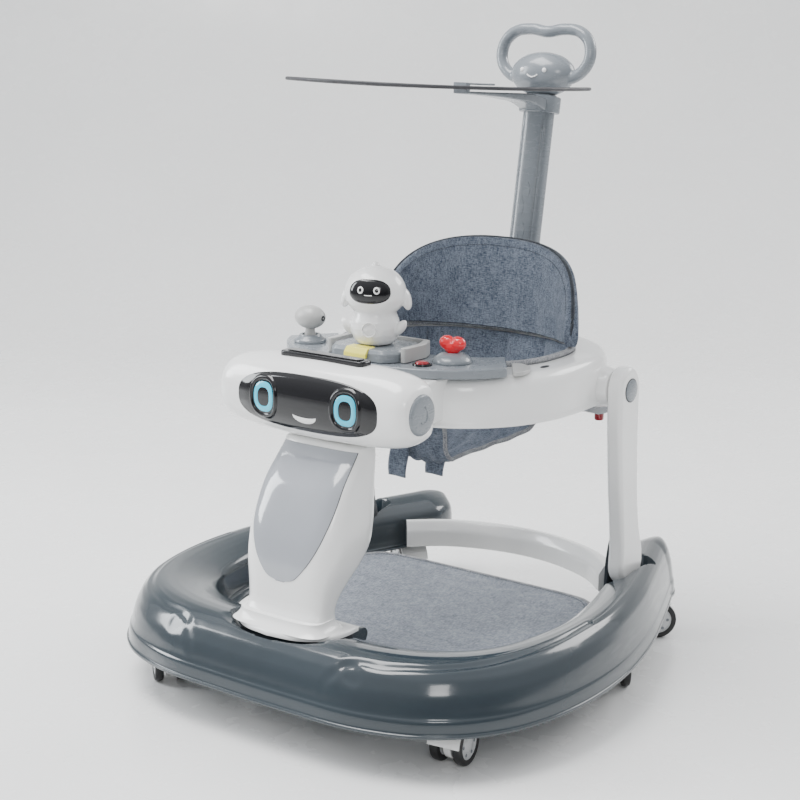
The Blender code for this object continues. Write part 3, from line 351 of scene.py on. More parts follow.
def relief(nodes, links, height, strength, distance, before=None):
    node = nodes.new("ShaderNodeBump")
    node.inputs["Strength"].default_value = strength
    node.inputs["Distance"].default_value = distance
    links.new(height, node.inputs["Height"])
    if before:
        links.new(before, node.inputs["Normal"])
    return node.outputs["Normal"]


def plastic(name, color, rough, coat=0.0, grain=0.02, wear=0.0, shift=0.06, spec=0.5):
    """Moulded plastic: faint colour drift, handling smears in the gloss, fine moulding waves."""
    mat, nodes, links, out = shader(name)
    here = spot(nodes, links)
    drift = spread(nodes, links, cloud(nodes, links, here, 9.0, 4.0), 0.35, 0.65)
    light = tuple(min(1.0, c * (1 + shift)) for c in color)
    dark = tuple(c * (1 - shift) for c in color)
    tone = tint(nodes, links, drift, dark, light)
    smear = cloud(nodes, links, spot(nodes, links, (1, 1, 3)), 26.0, 6.0, 0.7)
    polish = spread(nodes, links, smear, 0.3, 0.75, rough * 0.75, rough * 1.35)
    links.new(polish, out.inputs["Roughness"])
    if wear:
        edge = nodes.new("ShaderNodeNewGeometry")
        rub = spread(nodes, links, edge.outputs["Pointiness"], 0.52, 0.60)
        patch = spread(nodes, links, cloud(nodes, links, here, 70.0, 5.0, 0.75), 0.5, 0.62)
        worn = math_node(nodes, links, "MULTIPLY", rub, patch)
        worn = math_node(nodes, links, "MULTIPLY", worn, wear)
        node = nodes.new("ShaderNodeMix")
        node.data_type = "RGBA"
        links.new(worn, node.inputs["Factor"])
        links.new(tone, node.inputs["A"])
        node.inputs["B"].default_value = (*tuple(min(1, c * 1.6 + 0.05) for c in color), 1)
        tone = node.outputs["Result"]
    links.new(tone, out.inputs["Base Color"])
    out.inputs["Specular IOR Level"].default_value = spec
    out.inputs["Coat Weight"].default_value = coat
    out.inputs["Coat Roughness"].default_value = 0.06
    waves = relief(nodes, links, cloud(nodes, links, here, 38.0, 2.0), grain, 0.002)
    fine = relief(nodes, links, cloud(nodes, links, here, 900.0, 2.0), 0.04, 0.0004, waves)
    links.new(fine, out.inputs["Normal"])
    return mat


def heather(name, dark, light, pitch=0.0011, along=(1, 0, 0), rough=0.92, contrast=0.5):
    """Woven melange cloth: crossing threads with light and dark slubs along the yarn."""
    mat, nodes, links, out = shader(name)
    stretch = tuple(0.16 if a else 1.0 for a in along)
    slub = cloud(nodes, links, spot(nodes, links, stretch), 950.0, 5.0, 0.72)
    other = cloud(nodes, links, spot(nodes, links, tuple(1.0 if a else 0.2 for a in along)),
                  760.0, 4.0, 0.7)
    blotch = cloud(nodes, links, spot(nodes, links), 60.0, 4.0, 0.6)
    both = math_node(nodes, links, "ADD", math_node(nodes, links, "MULTIPLY", slub, 0.62),
                     math_node(nodes, links, "MULTIPLY", other, 0.38))
    both = math_node(nodes, links, "ADD", both, math_node(nodes, links, "MULTIPLY", blotch, 0.16))
    level = spread(nodes, links, both, 0.58 - 0.10 * contrast * 2, 0.58 + 0.10 * contrast * 2)
    links.new(tint(nodes, links, level, dark, light), out.inputs["Base Color"])
    heights = []
    for axis in range(3):
        wave = nodes.new("ShaderNodeTexWave")
        wave.wave_type = "BANDS"
        wave.bands_direction = "XYZ"[axis]
        wave.inputs["Scale"].default_value = 0.314 / pitch
        wave.inputs["Distortion"].default_value = 0.9
        wave.inputs["Detail"].default_value = 1.0
        wave.inputs["Detail Scale"].default_value = 1.5
        links.new(spot(nodes, links), wave.inputs["Vector"])
        heights.append(wave.outputs["Fac"])
    weave = math_node(nodes, links, "ADD", heights[0], heights[1])
    weave = math_node(nodes, links, "ADD", weave, heights[2])
    weave = math_node(nodes, links, "ADD", weave, math_node(nodes, links, "MULTIPLY", slub, 1.5))
    rumple = relief(nodes, links, cloud(nodes, links, spot(nodes, links), 75.0, 3.0), 0.35, 0.0015)
    links.new(relief(nodes, links, weave, 0.55, 0.00035, rumple), out.inputs["Normal"])
    out.inputs["Roughness"].default_value = rough
    out.inputs["Sheen Weight"].default_value = 0.25
    out.inputs["Sheen Roughness"].default_value = 0.5
    out.inputs["Specular IOR Level"].default_value = 0.2
    return mat


SLATE = plastic("slate_gloss", (0.020, 0.030, 0.038), 0.17, coat=0.45, grain=0.05, wear=0.25, shift=0.08)
NAVY = plastic("navy_satin", (0.012, 0.017, 0.023), 0.34, coat=0.15, grain=0.04)
WHITE = plastic("white_gloss", (0.84, 0.84, 0.83), 0.20, coat=0.45, grain=0.035, wear=0.1, shift=0.02)
GREY = plastic("grey_gloss", (0.185, 0.205, 0.225), 0.26, coat=0.3, grain=0.03, wear=0.15, shift=0.03)
PANEL_GREY = plastic("panel_grey", (0.315, 0.33, 0.36), 0.12, coat=0.9, grain=0.03, shift=0.04)
PALE = plastic("pale_grey_satin", (0.42, 0.42, 0.41), 0.36, coat=0.1, grain=0.05, wear=0.2, shift=0.04)
BLACK = plastic("black_gloss_shell", (0.0025, 0.0025, 0.004), 0.09, coat=0.45, grain=0.02, shift=0.1,
                spec=0.35)
# Near-black colour painted into seams, slots and holes as their shade; no opening is cut.
GAP_SHADE = plastic("painted_gap_shade", (0.012, 0.013, 0.016), 0.5, shift=0.2)
CYAN = plastic("cyan_print", (0.03, 0.56, 0.78), 0.16, coat=0.5, shift=0.12)
YELLOW = plastic("yellow_key", (0.78, 0.70, 0.10), 0.28, coat=0.3, wear=0.2)
RED = plastic("red_gloss_knob", (0.78, 0.008, 0.020), 0.18, coat=0.6, shift=0.08)
DEEP_RED = plastic("deep_red_key", (0.30, 0.006, 0.014), 0.22, coat=0.5)
TYRE = plastic("tyre_rubber", (0.010, 0.010, 0.011), 0.42, grain=0.08, shift=0.3)
HUB = plastic("hub_grey", (0.60, 0.61, 0.62), 0.24, coat=0.3, wear=0.3)
LINE_WHITE = plastic("print_white", (0.86, 0.86, 0.85), 0.25, coat=0.3, shift=0.02)
CLOTH = heather("heather_cloth", (0.040, 0.056, 0.088), (0.245, 0.28, 0.34), along=(1, 0, 0))
CLOTH_MAT = heather("heather_mat", (0.085, 0.105, 0.140), (0.36, 0.385, 0.430), along=(0, 1, 0))
EDGE = heather("binding_cloth", (0.16, 0.165, 0.18), (0.42, 0.425, 0.44), contrast=0.35)
PIPE = heather("dark_piping", (0.018, 0.022, 0.030), (0.060, 0.068, 0.080), contrast=0.5)
THREAD = heather("thread", (0.045, 0.055, 0.075), (0.12, 0.135, 0.160), pitch=0.0005)
SHADE = heather("canopy_cloth", (0.20, 0.20, 0.21), (0.33, 0.33, 0.34), pitch=0.0009, contrast=0.4)
RIM = plastic("rim_binding", (0.035, 0.035, 0.04), 0.55, shift=0.2)

for node_name, mat in (
        ("base_shell", SLATE), ("rear_cross_bar", WHITE), ("tray_ring", WHITE),
        ("front_column", WHITE), ("canopy_clip", GREY)):
    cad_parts[node_name].data.materials.clear()
    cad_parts[node_name].data.materials.append(mat)


# ---------------------------------------------------------------- rolling base

LIP = (
    (0.0, -0.370), (0.060, -0.369), (0.120, -0.367), (0.168, -0.358), (0.216, -0.339),
    (0.257, -0.307), (0.288, -0.263), (0.306, -0.212), (0.315, -0.158), (0.317, -0.102),
    (0.313, -0.045), (0.302, 0.016), (0.285, 0.081), (0.265, 0.140), (0.245, 0.195),
    (0.228, 0.240))
INNER = (
    (0.0, -0.235), (0.040, -0.235), (0.085, -0.233), (0.125, -0.227), (0.160, -0.213),
    (0.188, -0.191), (0.205, -0.163), (0.215, -0.130), (0.221, -0.095), (0.223, -0.060),
    (0.220, -0.020), (0.211, 0.025), (0.197, 0.080), (0.180, 0.132), (0.160, 0.183),
    (0.143, 0.228))
BASE_LINE = (
    (0.0, 0.0455), (0.0, 0.0480), (0.003, 0.0488), (0.012, 0.0492), (0.017, 0.0505),
    (0.022, 0.0560), (0.028, 0.0615), (0.036, 0.0645), (0.046, 0.0660), (0.056, 0.0700),
    (0.072, 0.0790), (0.100, 0.0905), (0.160, 0.1050), (0.220, 0.1125), (0.280, 0.1170),
    (0.340, 0.1194), (0.400, 0.1200), (0.490, 0.1188), (0.580, 0.1160), (0.670, 0.1125),
    (0.750, 0.1085), (0.840, 0.1032), (0.885, 0.0978), (0.905, 0.0900), (0.920, 0.0750),
    (0.938, 0.0605), (0.975, 0.0600), (1.05, 0.0600))
ARM_END = 0.05047
PLATE = ((0.0, -0.334), (0.038, -0.328), (0.066, -0.309), (0.075, -0.285), (0.075, -0.258))
LEG_FOOT = (0.121, 0.1260)
LEG_HEAD = (0.100, 0.3575)
COLUMN_FOOT = (-0.205, 0.0845)
SIDES = (("left", -1), ("right", 1))


def dent(x, y, z, cx, cy, rx, ry, deep, turn=0.0):
    c, s = math.cos(turn), math.sin(turn)
    u = ((x - cx) * c + (y - cy) * s) / rx
    v = (-(x - cx) * s + (y - cy) * c) / ry
    r = math.sqrt(u * u + v * v)
    return z - deep * (1 - ramp(0.55, 1.0, r)) if r < 1 else z


HOOK = [Vector(p) for p in spline(
    ((0.100, -0.356), (0.112, -0.348), (0.122, -0.338), (0.138, -0.333), (0.170, -0.325),
     (0.215, -0.300), (0.250, -0.262), (0.272, -0.212), (0.283, -0.150), (0.284, -0.085)), 8)]


def hook_line(x, y):
    p = Vector((abs(x), y))
    best = 1.0
    for a, b in zip(HOOK, HOOK[1:]):
        d = b - a
        t = min(1.0, max(0.0, (p - a).dot(d) / d.length_squared))
        best = min(best, (p - a - d * t).length)
    return best


def plate_edge(x, y):
    """Distance outside the foot plate outline, negative inside."""
    x = abs(x)
    if y > -0.285:
        return x - 0.0765
    dx = x / 0.0765
    dy = (-0.285 - y) / 0.0505
    return (math.sqrt(dx * dx + dy * dy) - 1.0) * 0.055


def base_height(x, y, z):
    if z > 0.07:
        r = 1 - (x / 0.118) ** 2 - ((y + 0.322) / 0.042) ** 2
        if r > 0:
            z = min(z, 0.1490 - 0.0400 * math.sqrt(r))
        z = min(z, 0.0950 + 0.030 * ramp(0.0, 0.0075, plate_edge(x, y)) + (
            0 if plate_edge(x, y) < 0.0075 else 1))
        ax = abs(x)
        over = max(0.2042 - ax, ax - 0.2305, LEG_FOOT[0] - 0.031 - y, y - LEG_FOOT[0] - 0.051)
        if over < 0.004:
            z = min(z, 0.0880 + (z - 0.0880) * ramp(0.0, 0.004, over))
        z = dent(x, y, z, -0.129, -0.343, 0.020, 0.009, 0.0015, 0.15)
        z = dent(x, y, z, 0.129, -0.343, 0.020, 0.009, 0.0022, -0.15)
        d = hook_line(x, y)
        if d < 0.010:
            z -= 0.0016 * math.exp(-(d / 0.0030) ** 2) - 0.0006 * math.exp(-((d - 0.006) / 0.0022) ** 2)
    return z


def base_stations(lip, inner, end_steps):
    stations = [(np.array(a), np.array(b), 1.0) for a, b in zip(lip, inner)]
    a, b, _ = stations[-1]
    middle = (a + b) / 2
    across = (b - a) / 2
    ahead = np.array((-across[1], across[0]))
    ahead = ahead / np.linalg.norm(ahead)
    ahead = ahead if ahead[1] > 0 else -ahead
    for k in range(1, end_steps + 1):
        angle = math.radians(80) * k / end_steps
        centre = middle + ahead * (ARM_END * math.sin(angle))
        half = across * (0.15 + 0.85 * math.cos(angle))
        stations.append((centre - half, centre + half, 1 - 0.16 * (1 - math.cos(angle))))
    mirrored = [(a * (-1, 1), b * (-1, 1), t) for a, b, t in stations[1:]]
    return mirrored[::-1] + stations


def build_base():
    lip = spline(LIP, 14)
    inner = spline(INNER, 14)
    line = [np.array(p) for p in BASE_LINE]
    fine = []
    for a, b in zip(line, line[1:]):
        steps = 5 if b[0] - a[0] > 0.05 else 3
        fine += [a + (b - a) * k / steps for k in range(steps)]
    fine.append(line[-1])
    smooth = [fine[0]] + [(fine[i - 1] + 2 * fine[i] + fine[i + 1]) / 4
                          for i in range(1, len(fine) - 1)] + [fine[-1]]
    rows = []
    for a, b, top in base_stations(lip, inner, 14):
        row = []
        for share, height in smooth:
            p = a + (b - a) * share
            z = 0.038 + (height - 0.038) * top
            row.append((p[0], p[1], base_height(p[0], p[1], z)))
        rows.append(row)
    verts, faces = strip(rows)
    count = len(rows[0])
    faces.append(tuple(range(count)))
    faces.append(tuple(range(len(verts) - count, len(verts))))
    obj = make("base_skin", (verts, faces), SLATE, "base", ["base_shell"], sharp=50)
    mod = obj.modifiers.new("wall", "SOLIDIFY")
    mod.thickness = 0.0026
    mod.offset = -1.0
    for label, side in SIDES:
        y, z = LEG_FOOT
        outline = round_outline([(y - 0.0200, 0.0800), (y + 0.0200, 0.0800), (y + 0.0190, z - 0.0120),
                                 (y + 0.0130, z + 0.0100), (y + 0.0020, z + 0.0270),
                                 (y - 0.0050, z + 0.0310), (y - 0.0110, z + 0.0230),
                                 (y - 0.0170, z)], 0.008, 6)
        make(f"leg_fin_{label}", side_prism(outline, side * 0.1970, side * 0.2030), NAVY, "base",
             bevel=0.0015)
        lug = round_outline([(-0.262, 0.0620), (-0.2260, 0.0620), (-0.2000, 0.0745), (-0.1950, 0.0845),
                             (-0.2000, 0.0930), (-0.2100, 0.0940), (-0.262, 0.0860)], 0.004, 4)
        make(f"column_lug_{label}", side_prism(lug, side * 0.0364, side * 0.0416), SLATE, "base",
             bevel=0.0008)


def build_cross_bar():
    path = spline([(-0.166, 0.168), (-0.120, 0.206), (-0.060, 0.230), (0.0, 0.238),
                   (0.060, 0.230), (0.120, 0.206), (0.166, 0.168)], 12)
    section = round_outline([(-0.0120, 0.0600), (0.0120, 0.0600), (0.0120, 0.0955), (-0.0030, 0.0990),
                             (-0.0120, 0.0850)], 0.0045, 5)
    rings = []
    for i, p in enumerate(path):
        d = path[min(i + 1, len(path) - 1)] - path[max(i - 1, 0)]
        n = np.array((-d[1], d[0])) / math.hypot(*d)
        rings.append([(p[0] + n[0] * u, p[1] + n[1] * u, z) for u, z in section])
    make("cross_bar", loft(rings), WHITE, "base", ["rear_cross_bar"])


def mat_half():
    return spline([(0.0, -0.2135), (0.070, -0.2135), (0.115, -0.2055), (0.155, -0.1855),
                   (0.186, -0.1520), (0.2055, -0.1050), (0.2145, -0.0550), (0.2130, -0.0100),
                   (0.2045, 0.0350), (0.1925, 0.0750), (0.1815, 0.0995), (0.1630, 0.1155),
                   (0.1300, 0.1215), (0.0600, 0.1225), (0.0, 0.1225)], 6)


def build_mat():
    half = mat_half()
    outline = [(p[0], p[1]) for p in half] + [(-p[0], p[1]) for p in half[::-1][1:-1]]
    centre = (0.0, -0.045)
    rings = 46
    verts = []
    faces = []
    n = len(outline)
    for layer, base in ((0, 0.0628), (1, 0.0606)):
        start = len(verts)
        verts.append((*centre, base))
        for k in range(1, rings + 1):
            s = k / rings
            for x, y in outline:
                px = centre[0] + (x - centre[0]) * s
                py = centre[1] + (y - centre[1]) * s
                z = base
                if layer == 0:
                    ridge = noise.noise(Vector((px * 9, py * 34, 3.1)))
                    z += 0.0011 * ridge + 0.0006 * noise.noise(Vector((px * 40, py * 55, 7.7)))
                    z -= 0.0016 * math.exp(-((py + 0.117 + 0.08 * px * px) / 0.0030) ** 2) * (
                        1 if abs(px) < 0.19 else 0)
                    z = z * (1 - ramp(0.985, 1.0, s)) + 0.0618 * ramp(0.985, 1.0, s)
                verts.append((px, py, z))
        faces += fan(start, n, rings)
    faces += rim_faces(n, rings)
    pad = make("foot_mat_cloth", (verts, faces), CLOTH_MAT, "base", ["foot_mat"],
               sharp=70)
    line = [(x, y, 0.0621) for x, y in outline]
    edge = make("foot_mat_binding", tube(line, 0.0026, 8, loop=True, flat=0.62), EDGE, "base")
    inner = [(centre[0] + (x - centre[0]) * 0.962, centre[1] + (y - centre[1]) * 0.962, 0.0633)
             for x, y in outline]
    make("foot_mat_stitch", stitches(inner + inner[:1], [(0, 0, 1)] * len(inner)), THREAD, "base")
    return edge


# ---------------------------------------------------------------- casters

CASTERS = (
    ("front_right", 0.217, -0.275, 97.0), ("front_left", -0.217, -0.275, -40.0),
    ("middle_right", 0.2570, 0.0300, 126.0), ("middle_left", -0.2570, 0.0300, 54.0),
    ("rear_right", 0.1980, 0.2250, 40.0), ("rear_left", -0.1980, 0.2250, 150.0))


def moved(shape, matrix):
    return [tuple(matrix @ Vector(v)) for v in shape[0]], shape[1]


WHEEL_TRAIL = 0.012
WHEEL_RADIUS = 0.025
WHEEL_OFFSET = 0.0145


def build_casters():
    trail, radius = WHEEL_TRAIL, WHEEL_RADIUS
    across = Matrix.Rotation(math.radians(-90), 3, "X")
    outer_arc = [(54 + 120 * k / 24, radius + 0.0042) for k in range(25)]
    inner_arc = [(174 - 120 * k / 24, radius + 0.0020) for k in range(25)]
    fender = [(trail + r * math.cos(math.radians(a)), radius + r * math.sin(math.radians(a)))
              for a, r in outer_arc + inner_arc]
    hood = merge(
        loft([[(x, y, z) for x, z in fender] for y in (-0.0200, -0.0193, 0.0193, 0.0200)]),
        lathe([(0.0190, -0.0048), (0.0195, -0.0040), (0.0195, 0.0040), (0.0190, 0.0048)],
              (trail, 0, radius), across, 32),
        loft([[(x, y, z) for x, y in ((-0.0070, -0.0050), (trail, -0.0050), (trail, 0.0050),
                                      (-0.0070, 0.0050))] for z in (0.032, 0.0545 + LIFT)]),
        lathe([(0.0095, 0.0535), (0.0095, 0.0563), (0.0046, 0.0566), (0.0046, 0.0840)],
              (0, 0, LIFT), None, 24))
    tread = [(0.0182, -0.0052), (0.0222, -0.0056), (0.0242, -0.0048), (0.0250, -0.0030),
             (0.0250, 0.0030), (0.0242, 0.0048), (0.0222, 0.0056), (0.0182, 0.0052),
             (0.0176, 0.0040), (0.0176, -0.0040)]
    face = [(0.0000, -0.0046), (0.0168, -0.0046), (0.0178, -0.0044), (0.0182, -0.0030),
            (0.0182, 0.0030), (0.0178, 0.0044), (0.0168, 0.0046), (0.0160, 0.0038),
            (0.0100, 0.0036), (0.0092, 0.0048), (0.0050, 0.0060), (0.0000, 0.0063)]
    for label, x, y, heading in CASTERS:
        place = Matrix.Translation((x, y, 0)) @ Matrix.Rotation(math.radians(heading), 4, "Z")
        make(f"{label}_hood", moved(hood, place), WHITE, f"swivel_{label}", [f"caster_{label}_hood"],
             bevel=0.0005, bevel_steps=2)
        for tag, offset in (("a", -WHEEL_OFFSET), ("b", WHEEL_OFFSET)):
            sign = -1 if offset > 0 else 1
            turn = Matrix.Rotation(math.radians(-90 * -sign), 3, "X")
            centre = (trail, offset, radius)
            tyre = hoop([(r, h) for r, h in tread], centre, turn, 48)
            # Six darker grey spots painted on the hub face as the shade in its slots; no slot is cut.
            marks = [Vector((0.0130 * math.cos(a), 0.0130 * math.sin(a), 0.0040))
                     for a in np.linspace(0, 2 * math.pi, 7)[:-1]]
            slot_shades = [blob(Vector(centre) + turn @ mark, (0.0022, 0.0022, 0.0005), turn, 12, 6)
                     for mark in marks]
            make(f"{label}_tyre_{tag}", moved(tyre, place), TYRE, f"wheel_{label}_{tag}",
                 [f"caster_{label}_wheel_{tag}"])
            make(f"{label}_hub_{tag}", moved(lathe(face, centre, turn, 40), place), HUB,
                 f"wheel_{label}_{tag}")
            make(f"{label}_hub_slot_shade_{tag}", moved(merge(*slot_shades), place), GREY,
                 f"wheel_{label}_{tag}")


# ---------------------------------------------------------------- front column and legs

COLUMN = (
    (0.1185, -0.2950, 0.0625, 0.0300), (0.1260, -0.2930, 0.0590, 0.0260),
    (0.1400, -0.2890, 0.0570, 0.0205), (0.1550, -0.2840, 0.0580, 0.0250),
    (0.1720, -0.2750, 0.0610, 0.0345), (0.1890, -0.2650, 0.0650, 0.0435),
    (0.2080, -0.2560, 0.0675, 0.0490), (0.2300, -0.2500, 0.0680, 0.0490),
    (0.2550, -0.2430, 0.0660, 0.0455), (0.2800, -0.2350, 0.0640, 0.0390),
    (0.3000, -0.2250, 0.0620, 0.0300), (0.3150, -0.2175, 0.0605, 0.0220),
    (0.3220, -0.2155, 0.0590, 0.0190), (0.3245, -0.2145, 0.0560, 0.0160))
COLUMN_FINE = spline(COLUMN, 7)
PANEL = spline((
    (0.1730, 0.0050), (0.1770, 0.0185), (0.1870, 0.0290), (0.2030, 0.0405), (0.2240, 0.0500),
    (0.2480, 0.0555), (0.2720, 0.0570), (0.2980, 0.0555), (0.3185, 0.0540)), 6)


def column_row(z):
    for a, b in zip(COLUMN_FINE, COLUMN_FINE[1:]):
        if a[0] <= z <= b[0]:
            return a + (b - a) * ((z - a[0]) / (b[0] - a[0]))
    return COLUMN_FINE[-1]


def column_front(x, z):
    _, cy, hx, hy = column_row(z)
    return cy - hy * max(0.0, 1 - (abs(x) / hx) ** 4.0) ** 0.25


def skin(rows, depth, proud, front):
    """Plate that follows the column front; rows are (z, half width)."""
    rings = []
    for z, half in rows:
        xs = [half * (k / 10.0 - 1.0) for k in range(21)]
        rings.append([(x, front(x, z) - proud, z) for x in xs]
                     + [(x, front(x, z) + depth, z) for x in reversed(xs)])
    return loft(rings)


def plate_ring(outline, grow, z):
    """Foot plate outline at a height, grown by a distance about the plate's middle."""
    return [(x * (1 + grow / 0.07), -0.29 + (y + 0.29) * (1 + grow / 0.04), z) for x, y in outline]


def build_column():
    rings = [oval((0.0, cy), (hx, hy), 4.0, 72, z) for z, cy, hx, hy in COLUMN_FINE]
    half = spline(PLATE, 6)
    outline = [(p[0], p[1]) for p in half] + [(-p[0], p[1]) for p in half[::-1][:-1]]
    plate_rings = []
    for z, grow in ((0.1128, -0.001), (0.1136, 0.0), (0.1170, 0.0), (0.1190, -0.0012),
                    (0.1198, -0.0035)):
        plate_rings.append(plate_ring(outline, grow, z))
    flare = []
    for k in range(9):
        grow = -0.0055 + 0.0045 * (1 - k / 8.0) ** 2
        flare.append(plate_ring(outline, grow, 0.0957 + 0.0174 * k / 8.0))
    make("column_pedestal", loft(flare), NAVY, "column")
    y, z = COLUMN_FOOT
    web = side_prism([(-0.285, 0.0975), (-0.285, 0.0885), (-0.268, 0.0775), (y, z - 0.0073),
                      (y, z + 0.0078), (-0.250, 0.0975)], -0.0298, 0.0298)
    barrel = lathe([(0.0083, -0.0352), (0.0083, 0.0352)], (0, y, z),
                   Matrix.Rotation(math.radians(90), 3, "Y"), 32)
    neck = []
    for k in range(9):
        t = k / 8.0
        s = (1 - t) ** 2
        neck.append(oval((0.0, -0.2965 + 0.0005 * t), (0.0600 + 0.0085 * s, 0.0258 + 0.0085 * s),
                         4.0, 72, 0.1193 + 0.0130 * t))
    make("column_body", merge(loft(rings), loft(plate_rings), web, barrel, loft(neck)), WHITE, "column",
         ["front_column"], sharp=42)
    make("column_inlay", skin(PANEL, 0.0016, 0.0007, column_front), PANEL_GREY, "column",
         ["column_panel"], bevel=0.0005)
    # Dark strip round the panel inlay: painted shade of the groove between panel and column.
    gap = [(z + (-0.0006 if i == 0 else 0.0), half + 0.00065) for i, (z, half) in enumerate(PANEL)]
    make("column_inlay_gap_shade", skin(gap, 0.0012, 0.00025, column_front), GAP_SHADE, "column")


def leg_outline():
    y, z = LEG_HEAD
    low_y, low_z = LEG_FOOT
    out = [(y + 0.0250 * math.cos(math.radians(a)), z + 0.0290 * math.sin(math.radians(a)))
           for a in range(180, -1, -10)]
    right = spline([(y + 0.0250, z), (y + 0.0255, 0.310), (y + 0.0275, 0.260), (y + 0.0320, 0.210),
                    (y + 0.0390, 0.170), (low_y + 0.0265, 0.145), (low_y + 0.0290, low_z)], 5)
    out += [(p[0], p[1]) for p in right[1:-1]]
    out += [(low_y + 0.0290 * math.cos(math.radians(a)), low_z + 0.0290 * math.sin(math.radians(a)))
            for a in range(0, -181, -12)]
    left = spline([(low_y - 0.0290, low_z), (low_y - 0.0275, 0.150), (y - 0.0090, 0.180),
                   (y - 0.0145, 0.220), (y - 0.0195, 0.265), (y - 0.0235, 0.310), (y - 0.0250, z)], 5)
    out += [(p[0], p[1]) for p in left[1:-1]]
    return out


def build_legs():
    y, z = LEG_HEAD
    outline = leg_outline()
    turn = Matrix.Rotation(math.radians(90), 3, "Y")
    for label, side in SIDES:
        make(f"leg_{label}", side_prism(outline, side * 0.2060, side * 0.2280), WHITE,
             f"leg_{label}", [f"rear_leg_{label}"], bevel=0.0062, bevel_steps=6,
             sharp=60)
        cap = [(0.0, 0.2262), (0.0137, 0.2262), (0.0143, 0.2280), (0.0140, 0.2292), (0.0120, 0.2299),
               (0.0, 0.2301)]
        cap = [(r, side * h) for r, h in cap]
        make(f"leg_cap_disc_{label}", lathe(cap, (0, y, z), turn, 48), GREY, f"leg_{label}",
             [f"leg_cap_{label}"])
        # Dark ring round the cap: painted shade of the gap between cap and leg.
        edge = [(0.0141, side * 0.2276), (0.0152, side * 0.2276), (0.0152, side * 0.2284),
                (0.0141, side * 0.2284)]
        make(f"leg_cap_gap_shade_{label}", hoop(edge, (0, y, z), turn, 48), GAP_SHADE, f"leg_{label}")


# ---------------------------------------------------------------- tray ring

RING_OUT = ((0.0, 0.030), (0.195, 0.190))
RING_IN = ((0.0, 0.045), (0.150, 0.125))


def ring_loop(share, z, count=160):
    (cx, cy), (ax, ay) = RING_OUT
    (dx, dy), (bx, by) = RING_IN
    out = oval((cx, cy), (ax, ay), 2.4, count, z)
    inn = oval((dx, dy), (bx, by), 2.4, count, z)
    return [(a[0] + (b[0] - a[0]) * share, a[1] + (b[1] - a[1]) * share, z) for a, b in zip(out, inn)]


def build_ring():
    section = [(0.03, 0.3385), (-0.030, 0.3385), (-0.034, 0.3400), (-0.030, 0.3418), (-0.006, 0.3432),
               (0.0, 0.3460), (0.0, 0.3600), (0.004, 0.3720), (0.020, 0.3820), (0.065, 0.3902),
               (0.150, 0.3952), (0.260, 0.3974), (0.400, 0.3980), (0.880, 0.3980), (0.940, 0.3972),
               (0.985, 0.3945), (1.0, 0.3900), (1.0, 0.3400), (0.94, 0.3400), (0.94, 0.3900),
               (0.150, 0.3900), (0.06, 0.3760), (0.06, 0.3440)]
    smooth = []
    n = len(section)
    for i in range(n):
        a = np.array(section[i])
        b = np.array(section[(i + 1) % n])
        smooth.append(a)
        if np.linalg.norm((b - a) * (0.05, 1)) > 0.004:
            smooth.append((a + b) / 2)
    rings = [ring_loop(s, z) for s, z in smooth]
    make("tray_ring_skin", loft(rings, loop=True), WHITE, "tray", ["tray_ring"],
         sharp=50)
    bridge = round_outline([(-0.108, -0.2028), (0.108, -0.2028), (0.108, -0.120), (-0.108, -0.120)],
                           0.010, 5)
    make("tray_bridge", prism(bridge, 0.3462, 0.3979), WHITE, "tray", bevel=0.003)
    turn = Matrix.Rotation(math.radians(90), 3, "Y")
    y, z = LEG_HEAD
    for label, side in SIDES:
        boss = [(0.0, 0.178), (0.0290, 0.178), (0.0262, 0.190), (0.0245, 0.1975), (0.0238, 0.2020),
                (0.0228, 0.2040), (0.0205, 0.2048), (0.0, 0.2048)]
        make(f"tray_shoulder_{label}", lathe([(r, side * h) for r, h in boss], (0, y, z), turn, 56),
             WHITE, "tray")
        # Dark oval on the tray top: painted shade standing in for the depth of a slot.
        socket = [(x, yy, 0.3981) for x, yy, _ in
                  oval((side * 0.168, -0.010), (0.0035, 0.0085), 2.2, 20)]
        make(f"tray_slot_shade_{label}", loft([socket, [(x, yy, 0.3986) for x, yy, _ in socket]]), GAP_SHADE,
             "tray")
        wedge = round_outline([(0.045, 0.3372), (0.130, 0.3372), (0.130, 0.3210), (0.119, 0.3182),
                               (0.100, 0.3200)], 0.003, 4)
        make(f"bracket_{label}", side_prism(wedge, side * 0.1612, side * 0.1831), GREY, "tray",
             [f"hinge_bracket_{label}"], bevel=0.0012)
        key = [(0.0, 0.3085), (0.0030, 0.3086), (0.0052, 0.3094), (0.0062, 0.3112), (0.0062, 0.3240),
               (0.0, 0.3240)]
        make(f"release_{label}", lathe(key, (side * 0.1752, 0.1150, 0), None, 32), DEEP_RED,
             f"release_{label}", [f"release_button_{label}"])


# ---------------------------------------------------------------- face housing

FACE = (
    (-0.1390, -0.2230, 0.0270, 0.0270), (-0.1355, -0.2230, 0.0325, 0.0325),
    (-0.1240, -0.2230, 0.0370, 0.0390), (-0.1020, -0.2225, 0.0400, 0.0435),
    (-0.0700, -0.2225, 0.0430, 0.0460), (-0.0350, -0.2225, 0.0445, 0.0470),
    (0.0, -0.2225, 0.0450, 0.0475))
FACE_Z = 0.3745
FACE_BACK = -0.2037
EYE = (0.0605, 0.3755)
FACE_FULL = spline(FACE + tuple((-x, y, a, b) for x, y, a, b in FACE[:-1][::-1]), 8)


def face_row(x):
    for a, b in zip(FACE_FULL, FACE_FULL[1:]):
        if a[0] <= x <= b[0]:
            return a + (b - a) * ((x - a[0]) / (b[0] - a[0]))
    return FACE_FULL[-1]


def face_front(x, z):
    _, cy, hy, hz = face_row(x)
    lift = min(1.0, abs(z - FACE_Z) / hz) ** (1 / 0.88)
    return cy - hy * math.sqrt(max(0.0, 1.0 - lift * lift)) ** 0.80


